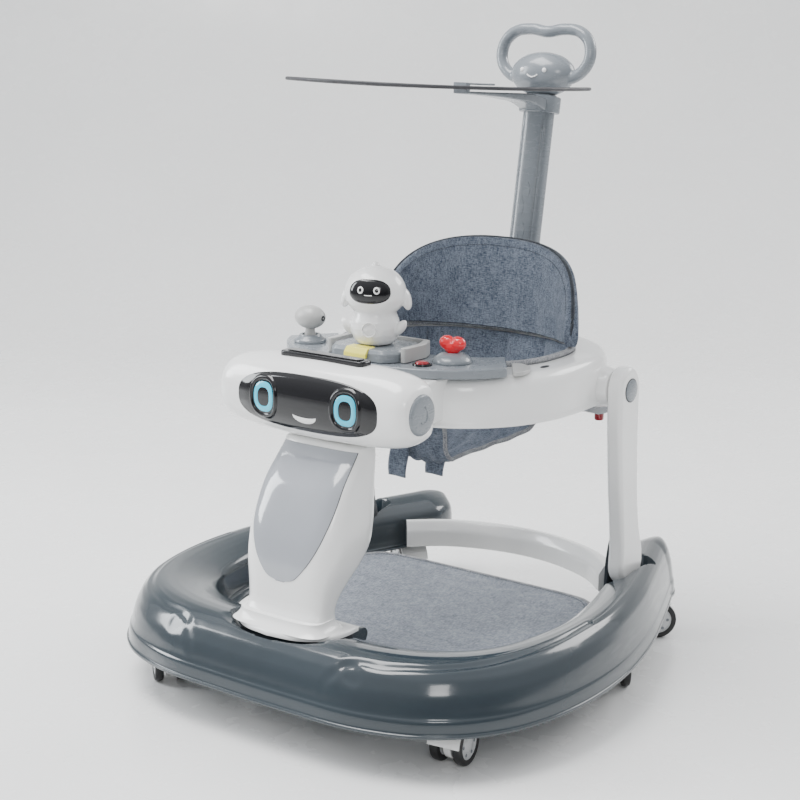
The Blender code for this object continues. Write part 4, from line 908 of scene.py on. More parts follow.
def face_plate(outline, low, high, centre=None, rings=14):
    """Plate on the housing front; low and high are how far its two faces stand out."""
    cx = sum(p[0] for p in outline) / len(outline) if centre is None else centre[0]
    cz = sum(p[1] for p in outline) / len(outline) if centre is None else centre[1]
    n = len(outline)
    verts = []
    faces = []
    for shift, round_over in ((high, 0.35), (low, 0.0)):
        start = len(verts)
        verts.append((cx, face_front(cx, cz) - shift, cz))
        for k in range(1, rings + 1):
            s = k / rings
            drop = (high - low) * round_over * ramp(0.86, 1.0, s)
            for px, pz in outline:
                x = cx + (px - cx) * s
                z = cz + (pz - cz) * s
                verts.append((x, face_front(x, z) - shift + drop, z))
        faces += fan(start, n, rings)
    faces += rim_faces(n, rings)
    return verts, faces


def face_band(outline_a, outline_b, low, high):
    """Ring between two outlines on the housing front, rounded over."""
    rings = []
    n = len(outline_a)
    for j in range(n):
        (ax, az), (bx, bz) = outline_a[j], outline_b[j]
        loop = []
        for k in range(7):
            t = k / 6
            x, z = ax + (bx - ax) * t, az + (bz - az) * t
            loop.append((x, face_front(x, z) - (low + (high - low) * math.sin(math.pi * t) ** 0.7), z))
        for x, z in ((bx, bz), (ax, az)):
            loop.append((x, face_front(x, z) - low + 0.002, z))
        rings.append(loop)
    return loft(rings, loop=True)


def flat_oval(centre, half, power, count=64):
    return [(x, z) for x, z, _ in oval(centre, half, power, count)]


def build_face():
    rings = []
    for x, cy, hy, hz in FACE_FULL:
        ring = []
        for i in range(72):
            a = 2 * math.pi * i / 72
            yy = cy + hy * signed_power(math.cos(a), 0.80)
            zz = FACE_Z + hz * signed_power(math.sin(a), 0.88)
            ring.append((x, min(yy, FACE_BACK), zz))
        rings.append(ring)
    make("face_shell", loft(rings), WHITE, "tray", ["face_housing"], sharp=48)
    outline = flat_oval((0.0015, 0.3740), (0.1030, 0.0332), 2.8, 96)
    edge = flat_oval((0.0015, 0.3740), (0.1038, 0.0340), 2.8, 96)
    # Dark plate just wider than the visor: painted shade of the seam round it.
    make("face_gap_shade", face_plate(edge, -0.001, 0.0001, rings=22), GAP_SHADE, "tray")
    make("face_visor", face_plate(outline, -0.0020, 0.0012, rings=26), BLACK, "tray", ["face_panel"],
         sharp=60)
    for label, side in SIDES:
        c = (side * EYE[0] + 0.0015, EYE[1])
        make(f"eye_socket_{label}", face_band(flat_oval(c, (0.0225, 0.0272), 2.4),
                                              flat_oval(c, (0.0165, 0.0195), 2.4), 0.0006, 0.0036),
             BLACK, "tray")
        make(f"eye_ring_{label}", face_band(flat_oval(c, (0.0156, 0.0186), 2.5),
                                            flat_oval(c, (0.0086, 0.0106), 2.6), 0.0010, 0.0018),
             CYAN, "tray", [f"eye_{label}"])
        make(f"eye_centre_{label}", face_plate(flat_oval(c, (0.0087, 0.0107), 2.6, 48), 0.0, 0.0012,
                                               rings=8), BLACK, "tray")
        ey, ez = -0.2260, 0.3745
        turn = Matrix.Rotation(math.radians(90), 3, "Y")
        disc = [(0.0, 0.1345), (0.0236, 0.1345), (0.0240, 0.1385), (0.0236, 0.1404), (0.0222, 0.1418),
                (0.0190, 0.1424), (0.0, 0.1426)]
        make(f"ear_disc_{label}", lathe([(r, side * h) for r, h in disc], (0, ey, ez), turn, 56), GREY,
             "tray", [f"ear_{label}"])
        mark = [(ey + 0.0075 * math.cos(a), ez + 0.0095 * math.sin(a))
                for a in np.linspace(-2.2, 1.3, 18)]
        line = [(side * 0.1425, a, b) for a, b in mark]
        make(f"ear_mark_{label}", tube(line, 0.0009, 8, up=(1, 0, 0)), GREY, "tray")
    smile = []
    for k in range(25):
        t = k / 24
        smile.append((0.003 + 0.0175 * (2 * t - 1), 0.3590 + 0.0022 * (2 * t - 1) ** 2))
    for k in range(25):
        t = 1 - k / 24
        round_off = math.sqrt(max(0.0, 1 - (2 * t - 1) ** 2))
        smile.append((0.003 + 0.0175 * (2 * t - 1), 0.3612 - 0.0092 * round_off))
    make("face_smile", face_plate(smile, 0.0, 0.0020, (0.003, 0.3570), 4), LINE_WHITE, "tray")
    bar = round_outline([(-0.0620, -0.2350), (0.0620, -0.2350), (0.0620, -0.2135), (-0.0620, -0.2135)],
                        0.008, 6)
    make("face_top_bar", prism(bar, 0.4172, 0.4262), BLACK, "tray", ["top_strip"],
         bevel=0.0022, bevel_steps=4)
    ridge = round_outline([(-0.054, -0.2305), (0.054, -0.2305), (0.054, -0.2180), (-0.054, -0.2180)],
                          0.005, 5)
    make("face_top_ridge", prism(ridge, 0.4255, 0.4276), BLACK, "tray",
         bevel=0.0006)


# ---------------------------------------------------------------- console and toys

def console_outline():
    outer = []
    inner = []
    for i in range(61):
        a = math.radians(-150 + 120 * i / 60)
        outer.append((0.186 * signed_power(math.cos(a), 0.80), 0.022 - 0.196 * abs(math.sin(a)) ** 0.80))
    for i in range(49):
        a = math.radians(-36 - 108 * i / 48)
        inner.append((0.1535 * signed_power(math.cos(a), 0.84),
                      0.045 - 0.1285 * abs(math.sin(a)) ** 0.84))
    return outer + inner


def build_console():
    z0, z1 = 0.3984, 0.4100
    make("console_deck", prism(console_outline(), z0, z1), GREY, "tray", ["console_top"],
         bevel=0.0022, bevel_steps=4)
    for label, side in SIDES:
        corners = ((0.1370, -0.0360), (0.1690, -0.0840), (0.1760, -0.0720), (0.1740, -0.0520),
                   (0.1660, -0.0400), (0.1500, -0.0300))
        tab = round_outline([(side * x, y) for x, y in corners], 0.006, 5)
        make(f"console_end_{label}", prism(tab, z0, 0.4034), PALE, "tray", [f"console_tab_{label}"],
             bevel=0.0009)
    z = z1 + 0.0004
    block = round_outline([(-0.0380, -0.1650), (0.0380, -0.1650), (0.0495, -0.1500), (0.0505, -0.1120),
                           (0.0410, -0.0880), (-0.0410, -0.0880), (-0.0505, -0.1120),
                           (-0.0495, -0.1500)], 0.006, 5)
    upper = [(x * 0.93, -0.126 + (y + 0.126) * 0.93) for x, y in block]
    body = loft([[(x, y, z) for x, y in block], [(x, y, 0.4205) for x, y in block],
                 [(x, y, 0.4249) for x, y in upper]])
    make("console_plinth", body, GREY, "tray", ["console_block"], bevel=0.0010,
         sharp=30)
    key = side_prism([(-0.1500, 0.4262), (-0.1640, 0.4258), (-0.1695, 0.4195), (-0.1698, 0.4142),
                      (-0.1656, 0.4142), (-0.1650, 0.4190), (-0.1500, 0.4215)], -0.0165, 0.0165)
    make("yellow_key", key, YELLOW, "yellow_button", ["yellow_button"],
         bevel=0.0012, bevel_steps=4)
    arm = [(-0.0590, -0.1480), (-0.0512, -0.1480), (-0.0520, -0.1110), (-0.0420, -0.0862),
           (0.0420, -0.0862), (0.0520, -0.1110), (0.0512, -0.1480), (0.0590, -0.1480),
           (0.0600, -0.1060), (0.0505, -0.0835), (-0.0505, -0.0835), (-0.0600, -0.1060)]
    make("console_clamp", prism(round_outline(arm, 0.004, 4), z, 0.4284), PALE, "tray", ["block_trim"],
         bevel=0.0014, bevel_steps=4)
    x, y = -0.118, -0.108
    base = [(0.0, 0.0), (0.0205, 0.0), (0.0205, 0.0026), (0.0196, 0.0040), (0.0160, 0.0058),
            (0.0138, 0.0082), (0.0132, 0.0095), (0.0100, 0.0092), (0.0098, 0.0030), (0.0, 0.0030)]
    make("joystick_cup", lathe(base, (x, y, z), None, 56), GREY, "tray", ["joystick_base"])
    stem = lathe([(0.0, 0.0043), (0.0038, 0.0046), (0.0074, 0.0066), (0.0076, 0.0080), (0.0066, 0.0110),
                  (0.0060, 0.0150), (0.0056, 0.0190), (0.0066, 0.0250), (0.0040, 0.0300), (0.0, 0.0300)],
                 (x, y, z), None, 48)
    knob = blob((x, y, 0.4415), (0.0213, 0.0163, 0.0148), segments=56, rings=36)
    make("joystick_grip", merge(stem, knob), PALE, "joystick", ["joystick"])
    # Dark disc on the knob: painted shade standing in for the eyelet hole.
    hole = lathe([(0.0, 0.0), (0.0034, 0.0), (0.0034, 0.0022), (0.0, 0.0022)], (x + 0.0190, y, 0.4415),
                 Matrix.Rotation(math.radians(90), 3, "Y"), 24)
    make("joystick_eyelet_shade", hole, GAP_SHADE, "joystick")
    x, y = 0.096, -0.103
    base = [(0.0, 0.0), (0.0240, 0.0), (0.0240, 0.0016), (0.0228, 0.0040), (0.0195, 0.0074),
            (0.0150, 0.0100), (0.0108, 0.0114), (0.0070, 0.0115), (0.0062, 0.0100), (0.0, 0.0100)]
    make("knob_dome", lathe(base, (x, y, z), None, 64), GREY, "tray", ["knob_base"])
    heart = merge(lathe([(0.0, 0.0040), (0.0054, 0.0042), (0.0054, 0.0200), (0.0, 0.0200)],
                        (x, y, z), None, 28),
                  *[blob((x + s * 0.0075, y, 0.4330), (0.0106, 0.0078, 0.0088), segments=36, rings=24)
                    for _, s in SIDES],
                  blob((x, y, 0.4290), (0.0125, 0.0076, 0.0090), segments=36, rings=24))
    melt(make("red_twist_knob", heart, RED, "red_knob", ["red_knob"]), 0.0007, 10)
    x, y = 0.0785, -0.1400
    rim = [(0.0083, 0.4060), (0.0118, 0.4060), (0.0118, 0.4110), (0.0113, 0.4121), (0.0102, 0.4126),
           (0.0088, 0.4122), (0.0083, 0.4112)]
    make("red_button_ring", hoop(rim, (x, y, 0), Matrix.Identity(3), 48), BLACK, "tray",
         ["red_button_bezel"])
    cap = [(0.0, 0.4085), (0.0080, 0.4085), (0.0080, 0.4126), (0.0074, 0.4138), (0.0055, 0.4147),
           (0.0, 0.4152)]
    make("red_button_cap", lathe(cap, (x, y, 0), None, 48), DEEP_RED, "red_button", ["red_button"])


TOY = Vector((0.0, -0.128, 0.0))
TOY_TURN = Matrix.Rotation(math.radians(22), 3, "Z")
TOY_HEAD = Vector((0.0, -0.128, 0.4880))


def toy_point(across, up, grow):
    return TOY_HEAD + TOY_TURN @ Vector(((0.0375 + grow) * math.sin(across) * math.cos(up),
                                         -(0.0335 + grow) * math.cos(across) * math.cos(up),
                                         (0.0320 + grow) * math.sin(up)))


def toy_plate(outline, low, high, rings=10):
    n = len(outline)
    ca = sum(p[0] for p in outline) / n
    cu = sum(p[1] for p in outline) / n
    verts = []
    faces = []
    for grow in (high, low):
        start = len(verts)
        verts.append(tuple(toy_point(ca, cu, grow)))
        for k in range(1, rings + 1):
            s = k / rings
            for a, u in outline:
                verts.append(tuple(toy_point(ca + (a - ca) * s, cu + (u - cu) * s,
                                             grow - (high - low) * 0.3 * ramp(0.85, 1, s) * (grow == high))))
        faces += fan(start, n, rings)
    faces += rim_faces(n, rings)
    return verts, faces


def build_toy():
    z = 0.4254
    body = lathe([(0.0, 0.0), (0.0185, 0.0), (0.0222, 0.0014), (0.0258, 0.0060), (0.0287, 0.0130),
                  (0.0300, 0.0210), (0.0290, 0.0290), (0.0262, 0.0360), (0.0245, 0.0430),
                  (0.0246, 0.0560), (0.0, 0.0560)], (TOY.x, TOY.y, z), None, 64)
    parts = [body, blob(TOY_HEAD, (0.0375, 0.0335, 0.0320), TOY_TURN, 72, 48)]
    for _, side in SIDES:
        tilt = TOY_TURN @ Matrix.Rotation(math.radians(side * -14), 3, "Y")
        parts.append(blob(TOY + TOY_TURN @ Vector((side * 0.0372, 0.004, 0.4800)),
                          (0.0062, 0.0092, 0.0135), tilt, 28, 18))
        flap = TOY_TURN @ Matrix.Rotation(math.radians(side * 38), 3, "Y")
        parts.append(blob(TOY + TOY_TURN @ Vector((side * 0.0325, -0.006, 0.4465)),
                          (0.0060, 0.0072, 0.0115), flap, 28, 18))
    parts.append(blob(Vector((0.0, -0.128, TOY_HEAD.z + 0.0312)), (0.0052, 0.0052, 0.0056),
                      None, 24, 16))
    melt(make("toy_figure", merge(*parts), WHITE, "toy", ["toy_robot"]), 0.0010, 5)
    visor = [(a, u) for a, u, _ in oval((0.0, 0.16), (0.76, 0.48), 2.5, 64)]
    make("toy_mask", toy_plate(visor, -0.002, 0.0007, 16), BLACK, "toy", ["toy_visor"],
         sharp=60)
    for label, side in SIDES:
        eye = [(side * 0.27 + a, 0.20 + u) for a, u, _ in oval((0, 0), (0.105, 0.135), 2.0, 28)]
        pupil = [(side * 0.27 + a, 0.20 + u) for a, u, _ in oval((0, 0), (0.060, 0.082), 2.0, 28)]
        make(f"toy_eye_{label}", toy_plate(eye, 0.0, 0.0011, 5), LINE_WHITE, "toy")
        make(f"toy_pupil_{label}", toy_plate(pupil, 0.0, 0.0014, 4), BLACK, "toy")
    mouth = [tuple(toy_point(a, 0.015 + 0.5 * a * a, 0.0010)) for a in np.linspace(-0.12, 0.12, 11)]
    make("toy_mouth", tube(mouth, 0.0006, 6), LINE_WHITE, "toy")
    ring = []
    for k in range(40):
        a = 2 * math.pi * k / 40
        u = 0.0085 * math.cos(a)
        h = 0.4465 + 0.0085 * math.sin(a)
        r = 0.0300 - 0.0000
        ang = u / r
        flat = Vector((r * math.sin(ang), -r * math.cos(ang), h - 0.0))
        ring.append(tuple(Vector((0, TOY.y, 0)) + TOY_TURN @ flat))
    make("toy_belly_ring", tube(ring, 0.0008, 8, loop=True), WHITE, "toy")


# ---------------------------------------------------------------- seat

def seat_top(share):
    return 0.412 + 0.113 * max(0.0, 1.0 - abs(share) ** 2.5) ** 0.58


def seat_frame(share):
    angle = math.radians(90 - 70 * share)
    out = np.array((math.cos(angle) * 0.110, math.sin(angle) * 0.160))
    out = out / np.linalg.norm(out)
    here = np.array((0.1690 * math.cos(angle), 0.050 + 0.1080 * math.sin(angle)))
    return angle, out, here


def seat_point(share, reach, z):
    """Point of the back pad: reach is -1 on the child's side and 1 outside."""
    angle, out, here = seat_frame(share)
    shift = reach * 0.0095 - 0.010 + 0.06 * (z - 0.406) * max(0.0, math.sin(angle))
    p = here + out * shift
    return (p[0], p[1], z)


def seat_fold(share, level):
    """Soft vertical folds on the child's side, in metres."""
    deep = 0.0
    for centre, width, size in ((-0.62, 0.05, 0.9), (-0.30, 0.07, 0.7), (0.03, 0.05, 0.8),
                                (0.34, 0.06, 0.9), (0.60, 0.05, 0.7), (0.80, 0.04, 0.6)):
        deep += size * math.exp(-((share - centre - 0.03 * math.sin(9 * level)) / width) ** 2)
    deep *= 0.0020 * (1 - ramp(0.35, 0.95, level))
    return deep + 0.0007 * noise.noise(Vector((share * 9, level * 4, 1.7)))


def build_seat_back():
    rings = []
    count = 120
    for i in range(count + 1):
        share = -0.992 + 1.984 * i / count
        top = seat_top(share * 0.985) - 0.0005
        low = 0.4060
        ring = []
        for k in range(22):
            level = k / 21
            crown = math.sin(math.pi * min(1.0, 0.06 + level * 0.88)) ** 0.45
            z = low + (top - low) * level
            reach = -0.30 - 0.72 * crown
            x, y, z = seat_point(share, reach, z)
            _, out, _ = seat_frame(share)
            push = seat_fold(share, level)
            ring.append((x + out[0] * push, y + out[1] * push, z))
        for k in range(22):
            level = 1 - k / 21
            crown = math.sin(math.pi * min(1.0, 0.06 + level * 0.88)) ** 0.45
            z = low + (top - low) * level
            ring.append(seat_point(share, 0.30 + 0.60 * crown, z))
        rings.append(ring)
    pad = make("seat_back_pad", loft(rings), CLOTH, "tray", ["seat_back"], sharp=75)
    edge = [seat_point(s, 0.0, seat_top(s * 0.985) - 0.0010) for s in np.linspace(-0.985, 0.985, 140)]
    low = [seat_point(s, -0.2, 0.4062) for s in np.linspace(0.985, -0.985, 100)]
    make("seat_back_piping", tube(edge + low[1:-1], 0.0024, 10, loop=True), PIPE, "tray")
    line = []
    outs = []
    for s in np.linspace(-0.93, 0.93, 160):
        z = seat_top(s * 0.985) - 0.0105
        level = (z - 0.406) / (seat_top(s * 0.985) - 0.0005 - 0.406)
        crown = math.sin(math.pi * min(1.0, 0.06 + level * 0.88)) ** 0.45
        x, y, z = seat_point(s, -0.30 - 0.72 * crown - 0.03, z)
        _, out, _ = seat_frame(s)
        line.append((x + out[0] * seat_fold(s, level), y + out[1] * seat_fold(s, level), z))
        outs.append((-out[0], -out[1], 0))
    make("seat_back_stitch", stitches(line, outs), THREAD, "tray")


def sling_wall(angle, level):
    """Point on the gathered wall; level is 0 at the rim and 1 at the bottom."""
    z = 0.3955 - 0.0630 * level
    shrink = 0.011 * level ** 2.2
    c, s = math.cos(angle), math.sin(angle)
    ax, ay = 0.1484 - shrink, 0.1234 - shrink
    x = ax * signed_power(c, 2 / 2.4)
    y = 0.045 + ay * signed_power(s, 2 / 2.4)
    puff = abs(math.sin(angle * 8)) ** 0.5
    bulge = 0.0085 * puff * math.sin(math.pi * min(1.0, level * 0.95 + 0.05)) ** 0.6
    bulge += 0.0012 * noise.noise(Vector((x * 60, y * 60, z * 40)))
    n = math.hypot(c, s)
    return (x - c / n * bulge, y - s / n * bulge, z)


def sling_strap():
    path = spline([(-0.0665, 0.3450, 0.060), (-0.0540, 0.3140, 0.050), (-0.0300, 0.2600, 0.042),
                   (0.0100, 0.2560, 0.040), (0.0550, 0.2600, 0.052), (0.0950, 0.2660, 0.072),
                   (0.1220, 0.2840, 0.086), (0.1370, 0.3120, 0.090), (0.1430, 0.3450, 0.083)], 9)
    rows = []
    for i, (y, z, w) in enumerate(path):
        row = []
        for j in range(41):
            share = j / 20.0 - 1.0
            rise = 0.020 * share * share * (w / 0.10)
            fold = 0.0016 * math.sin(share * 15 + i * 0.15) * (1 - abs(share) ** 3)
            fold += 0.0018 * noise.noise(Vector((share * 5, i * 0.16, 4.2)))
            gather = 1 - 0.02 * math.sin(i * 0.9)
            row.append((share * w * gather, y, z + rise + fold))
        rows.append(row)
    return rows


def build_sling():
    rows = []
    for k in range(25):
        rows.append([sling_wall(2 * math.pi * j / 360, k / 24) for j in range(361)])
    wall = make("seat_sling_wall", strip(rows), CLOTH, "tray", ["seat_sling"],
                sharp=80)
    mod = wall.modifiers.new("cloth", "SOLIDIFY")
    mod.thickness = 0.0016
    mod.offset = 0.0
    rim = [(x, y, z) for x, y, z in oval((0.0, 0.045), (0.1492, 0.1242), 2.4, 220, 0.4002)]
    make("seat_rim_roll", tube(rim, 0.0042, 12, loop=True, flat=0.85), EDGE, "tray")
    rows = sling_strap()
    strap = make("seat_sling_saddle", strip(rows), CLOTH, "tray", sharp=80)
    mod = strap.modifiers.new("cloth", "SOLIDIFY")
    mod.thickness = 0.0026
    mod.offset = 0.0
    for label, column in (("left", 0), ("right", -1)):
        line = [row[column] for row in rows]
        make(f"seat_saddle_edge_{label}", tube(line, 0.0028, 10), EDGE, "tray")
    for label, x, y, bottom, lean in (("left", -0.0250, -0.0480, 0.2362, 0.20),
                                      ("right", 0.0200, -0.0240, 0.2402, -0.16)):
        rows = []
        for k in range(22):
            t = k / 21
            z = 0.3050 + (bottom - 0.3050) * t
            sway = 0.003 * math.sin(t * 5) + lean * 0.012 * t
            rows.append([(x + sway + (j / 4.0 - 1) * 0.0138,
                          y + 0.0012 * math.sin(t * 7 + j * 0.5) + 0.001, z) for j in range(9)])
        tail = make(f"seat_strap_{label}", strip(rows), CLOTH, "tray", sharp=80)
        mod = tail.modifiers.new("cloth", "SOLIDIFY")
        mod.thickness = 0.0022
        mod.offset = 0.0


# ---------------------------------------------------------------- push bar and canopy

LEAN = math.radians(9.7)
POLE_LENGTH = 0.378


def pole_point(distance, x=0.0, side=0.0):
    return (x, 0.1775 + distance * math.sin(LEAN) + side * math.cos(LEAN),
            0.3460 + distance * math.cos(LEAN) - side * math.sin(LEAN))


def build_push_bar():
    section = oval((0, 0), (0.0215, 0.0130), 3.0, 72)
    rings = []
    for d in np.linspace(0.0, POLE_LENGTH - 0.010, 40):
        ring = []
        for x, s, _ in section:
            groove = 0.0011 * math.exp(-((abs(x) - 0.0150) / 0.0011) ** 2) * (s < 0) * (
                ramp(0.060, 0.066, d) * (1 - ramp(0.330, 0.336, d)))
            ring.append(pole_point(d, x, s + groove))
        rings.append(ring)
    make("push_tube", loft(rings), GREY, "push_bar", ["push_pole"])
    scuffs = []
    for d, x, length in ((0.150, -0.004, 0.030), (0.175, 0.003, 0.022), (0.205, -0.002, 0.026),
                         (0.232, 0.005, 0.018)):
        line = [pole_point(d + length * t, x + 0.002 * math.sin(t * 4), -0.0129) for t in
                np.linspace(0, 1, 9)]
        scuffs.append(tube(line, 0.0005, 6))
    make("push_tube_marks", merge(*scuffs), GREY, "push_bar")
    top = POLE_LENGTH - 0.0096
    rings = []
    for d, rx, ry in spline(((0.0, 0.0210, 0.0130), (0.006, 0.0340, 0.0200), (0.016, 0.0440, 0.0265),
                             (0.029, 0.0470, 0.0290), (0.041, 0.0420, 0.0260), (0.051, 0.0280, 0.0180),
                             (0.0555, 0.0120, 0.0080), (0.0565, 0.0020, 0.0015)), 6):
        rings.append([pole_point(top + d, rx * math.cos(2 * math.pi * i / 72),
                                 ry * math.sin(2 * math.pi * i / 72)) for i in range(72)])
    half = [(0.0300, 0.020), (0.0480, 0.024), (0.0630, 0.036), (0.0690, 0.053), (0.0640, 0.072),
            (0.0480, 0.0845), (0.0240, 0.0870), (0.0, 0.0835)]
    path = spline(half + [(-x, d) for x, d in half[:-1][::-1]], 12)
    loops = []
    for i, p in enumerate(path):
        a = path[min(i + 1, len(path) - 1)] - path[max(i - 1, 0)]
        a = a / np.linalg.norm(a)
        wave = 0.0010 * math.cos(p[0] * 330) if p[1] > 0.070 else 0.0
        ring = []
        for j in range(28):
            ang = 2 * math.pi * j / 28
            across = (0.0078 + wave * (math.sin(ang) ** 2)) * math.cos(ang)
            ring.append(pole_point(top + p[1] + a[0] * across, p[0] - a[1] * across,
                                   0.0088 * math.sin(ang)))
        loops.append(ring)
    obj = make("push_grip", merge(loft(rings), loft(loops)), GREY, "push_bar", ["push_handle"])
    melt(obj, 0.0011, 8)
    for label, side in SIDES:
        eye = blob(pole_point(top + 0.029, side * 0.0170, -0.0268), (0.0032, 0.0018, 0.0032),
                   None, 20, 12)
        make(f"push_dot_{label}", eye, LINE_WHITE, "push_bar")
    arc = [pole_point(top + 0.0195 + 0.0035 * (t * t), 0.0080 * t, -0.0283 + 0.0006 * t * t)
           for t in np.linspace(-1, 1, 17)]
    make("push_smile", tube(arc, 0.0010, 8), LINE_WHITE, "push_bar")
    low, high = POLE_LENGTH - 0.0340, POLE_LENGTH - 0.0120
    rings = []
    for d, grow in ((low, 0.0), (low + 0.0008, 0.0010), (low + 0.003, 0.0012), (high - 0.003, 0.0012),
                    (high - 0.0008, 0.0010), (high, 0.0)):
        rings.append([pole_point(d, x, s) for x, s, _ in oval((0, 0), (0.0263 + grow, 0.0178 + grow),
                                                             3.0, 72)])
    # Dark disc on the collar: painted shade standing in for the bolt hole.
    bolt = lathe([(0.0, 0.0), (0.0032, 0.0), (0.0032, 0.0010), (0.0, 0.0012)],
                 pole_point((low + high) / 2, 0.012, -0.0190), Matrix.Rotation(math.radians(90), 3, "X"),
                 24)
    make("clip_collar", loft(rings), GREY, "canopy", ["canopy_clip"])
    make("clip_collar_hole_shade", bolt, GAP_SHADE, "canopy")


CANOPY_Y = 0.002
CANOPY_HALF = (0.1745, 0.2015)
CANOPY_SAG = 0.0035


def canopy_z(y):
    return 0.728 - 0.050 * y


def canopy_twist(x, y):
    return 0.0045 * (x / 0.185) * ((y + 0.006) / 0.213)


def build_canopy():
    n = 128
    outline = [(CANOPY_HALF[0] * math.cos(2 * math.pi * i / n),
                CANOPY_Y + CANOPY_HALF[1] * math.sin(2 * math.pi * i / n)) for i in range(n)]
    rows = 40
    verts = [(0.0, CANOPY_Y, canopy_z(CANOPY_Y) - CANOPY_SAG)]
    for k in range(1, rows + 1):
        s = k / rows
        for i, (px, py) in enumerate(outline):
            x = px * s
            y = CANOPY_Y + (py - CANOPY_Y) * s
            sag = CANOPY_SAG * (1 - s * s)
            pull = 0.0009 * math.sin(i * 2 * math.pi / n * 18) * s ** 6
            verts.append((x, y, canopy_z(y) + canopy_twist(x, y) - sag + pull
                          + 0.0006 * noise.noise(Vector((x * 22, y * 22, 0)))))
    faces = fan(0, n, rows)
    cloth = make("canopy_cloth", (verts, faces), SHADE, "canopy", ["canopy_fabric"],
                 sharp=80)
    mod = cloth.modifiers.new("cloth", "SOLIDIFY")
    mod.thickness = 0.0009
    mod.offset = 0.0
    line = [(x * 1.009, CANOPY_Y + (y - CANOPY_Y) * 1.008, canopy_z(y) + canopy_twist(x, y))
            for x, y in outline]
    rim = make("canopy_rim", tube(line, 0.0021, 12, loop=True), RIM, "canopy", ["canopy_hoop"])
    seam = [(x * 0.955, CANOPY_Y + (y - CANOPY_Y) * 0.955,
             canopy_z(y) + canopy_twist(x * 0.955, y) + 0.0004) for x, y in outline]
    make("canopy_stitch", stitches(seam + seam[:1], [(0, 0, 1)] * n), THREAD, "canopy")
    front = 0.222
    stations = []
    for y, lift, drop, half in spline((
            (0.050, -0.0062, -0.0092, 0.0100), (0.085, -0.0062, -0.0105, 0.0125),
            (0.120, -0.0062, -0.0120, 0.0145), (0.160, -0.0062, -0.0150, 0.0165),
            (0.190, -0.0065, -0.0180, 0.0185), (front, -0.0120, -0.0280, 0.0200)), 5):
        z = canopy_z(y)
        outline = round_outline([(-half, z + drop), (half, z + drop), (half, z + lift),
                                 (-half, z + lift)], 0.002, 4)
        stations.append([(x, y, zz) for x, zz in outline])
    make("clip_arm_lower", loft(stations), GREY, "canopy", sharp=45)
    stations = []
    for y, half in ((0.046, 0.0100), (0.052, 0.0110), (0.090, 0.0130), (0.105, 0.0120), (0.112, 0.0090)):
        z = canopy_z(y)
        outline = round_outline([(-half, z + 0.0022), (half, z + 0.0022), (half, z + 0.0048),
                                 (-half, z + 0.0048)], 0.001, 3)
        stations.append([(x, y, zz) for x, zz in outline])
    nose = prism(round_outline([(-0.0105, 0.0455), (0.0105, 0.0455), (0.0105, 0.0540),
                                (-0.0105, 0.0540)], 0.002, 3),
                 canopy_z(0.05) - 0.0088, canopy_z(0.05) + 0.0046)
    make("clip_arm_upper", merge(loft(stations), nose), GREY, "canopy", sharp=45)


# ---------------------------------------------------------------- stage

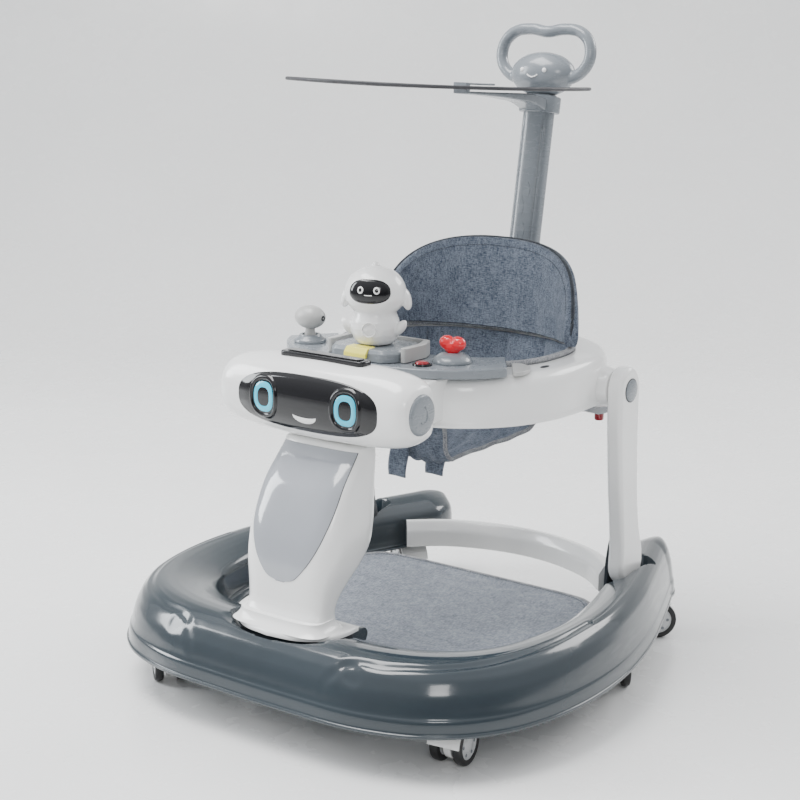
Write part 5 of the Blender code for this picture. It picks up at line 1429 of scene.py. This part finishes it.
def build_stage():
    floor_mat, nodes, links, out = shader("floor_pale")
    here = spot(nodes, links)
    drift = spread(nodes, links, cloud(nodes, links, here, 2.2, 3.0), 0.3, 0.7)
    links.new(tint(nodes, links, drift, (0.86, 0.86, 0.85), (0.90, 0.90, 0.89)),
              out.inputs["Base Color"])
    gloss = spread(nodes, links, cloud(nodes, links, here, 14.0, 4.0), 0.3, 0.7, 0.20, 0.32)
    links.new(gloss, out.inputs["Roughness"])
    out.inputs["Specular IOR Level"].default_value = 0.35
    rows = []
    for t in np.linspace(0, 1, 60):
        if t < 0.5:
            y, z = -4.0 + 12.0 * t, 0.0
        elif t < 0.7:
            a = (t - 0.5) / 0.2 * math.pi / 2
            y, z = 2.0 + 1.2 * math.sin(a), 1.2 - 1.2 * math.cos(a)
        else:
            y, z = 3.2, 1.2 + (t - 0.7) * 12.0
        rows.append([(x, y, z) for x in np.linspace(-5, 5, 12)])
    verts, faces = strip(rows)
    turn = Matrix.Rotation(math.radians(36), 4, "Z")
    mesh = bpy.data.meshes.new("studio_sweep")
    mesh.from_pydata([tuple(turn @ Vector(v)) for v in verts], [], faces)
    mesh.materials.append(floor_mat)
    for face in mesh.polygons:
        face.use_smooth = True
    sweep = bpy.data.objects.new("studio_sweep", mesh)
    bpy.context.scene.collection.objects.link(sweep)
    world = bpy.data.worlds.new("studio")
    bpy.context.scene.world = world
    world.use_nodes = True
    sky, wires = world.node_tree.nodes, world.node_tree.links
    facing = sky.new("ShaderNodeTexCoord")
    parts = sky.new("ShaderNodeSeparateXYZ")
    wires.new(facing.outputs["Generated"], parts.inputs["Vector"])
    rise = spread(sky, wires, parts.outputs["Z"], 0.1, 0.85, 0.0, 0.85)
    far = spread(sky, wires, parts.outputs["Y"], -0.3, 0.9, 0.26, 0.85)
    left = spread(sky, wires, parts.outputs["X"], 0.6, -0.9, 0.0, 0.45)
    total = math_node(sky, wires, "ADD", math_node(sky, wires, "ADD", rise, far), left)
    wires.new(total, sky["Background"].inputs["Strength"])
    sky["Background"].inputs["Color"].default_value = (0.95, 0.97, 1.0, 1)

    def lamp(name, place, aim, size, power, color=(1, 1, 1)):
        data = bpy.data.lights.new(name, "AREA")
        data.shape = "RECTANGLE"
        data.size, data.size_y = size
        data.energy = power
        data.color = color
        obj = bpy.data.objects.new(name, data)
        bpy.context.scene.collection.objects.link(obj)
        obj.location = place
        obj.rotation_mode = "QUATERNION"
        obj.rotation_quaternion = (Vector(aim) - Vector(place)).to_track_quat("-Z", "Y")

    lamp("key_top", (-0.6, -0.6, 2.6), (0, 0, 0.3), (1.6, 1.2), 78)
    lamp("side_left", (-2.2, -1.2, 1.3), (0, 0, 0.35), (0.8, 1.4), 52, (0.93, 0.97, 1.0))
    lamp("front_fill", (1.9, -2.3, 1.7), (0, 0, 0.3), (0.7, 0.7), 16)
    lamp("back_rim", (1.2, 2.4, 1.9), (0, 0, 0.4), (1.6, 1.0), 42)


def build_camera():
    a, e, r = math.radians(36.23), math.radians(13.03), math.radians(0.38)
    back = Vector((math.sin(a) * math.cos(e), -math.cos(a) * math.cos(e), math.sin(e)))
    right = Vector((math.cos(a), math.sin(a), 0))
    up = back.cross(right)
    across = right * math.cos(r) + up * math.sin(r)
    above = -right * math.sin(r) + up * math.cos(r)
    data = bpy.data.cameras.new("photo_camera")
    data.lens = 74.25
    data.sensor_width = 36.0
    camera = bpy.data.objects.new("photo_camera", data)
    bpy.context.scene.collection.objects.link(camera)
    camera.matrix_world = Matrix((
        (across.x, above.x, back.x, 1.182), (across.y, above.y, back.y, -1.6475),
        (across.z, above.z, back.z, 0.8165), (0, 0, 0, 1)))
    bpy.context.scene.camera = camera


build_camera()
build_stage()
build_base()
build_cross_bar()
build_mat()
build_casters()
build_column()
build_legs()
build_ring()
build_face()
build_console()
build_toy()
build_seat_back()
build_sling()
build_push_bar()
build_canopy()
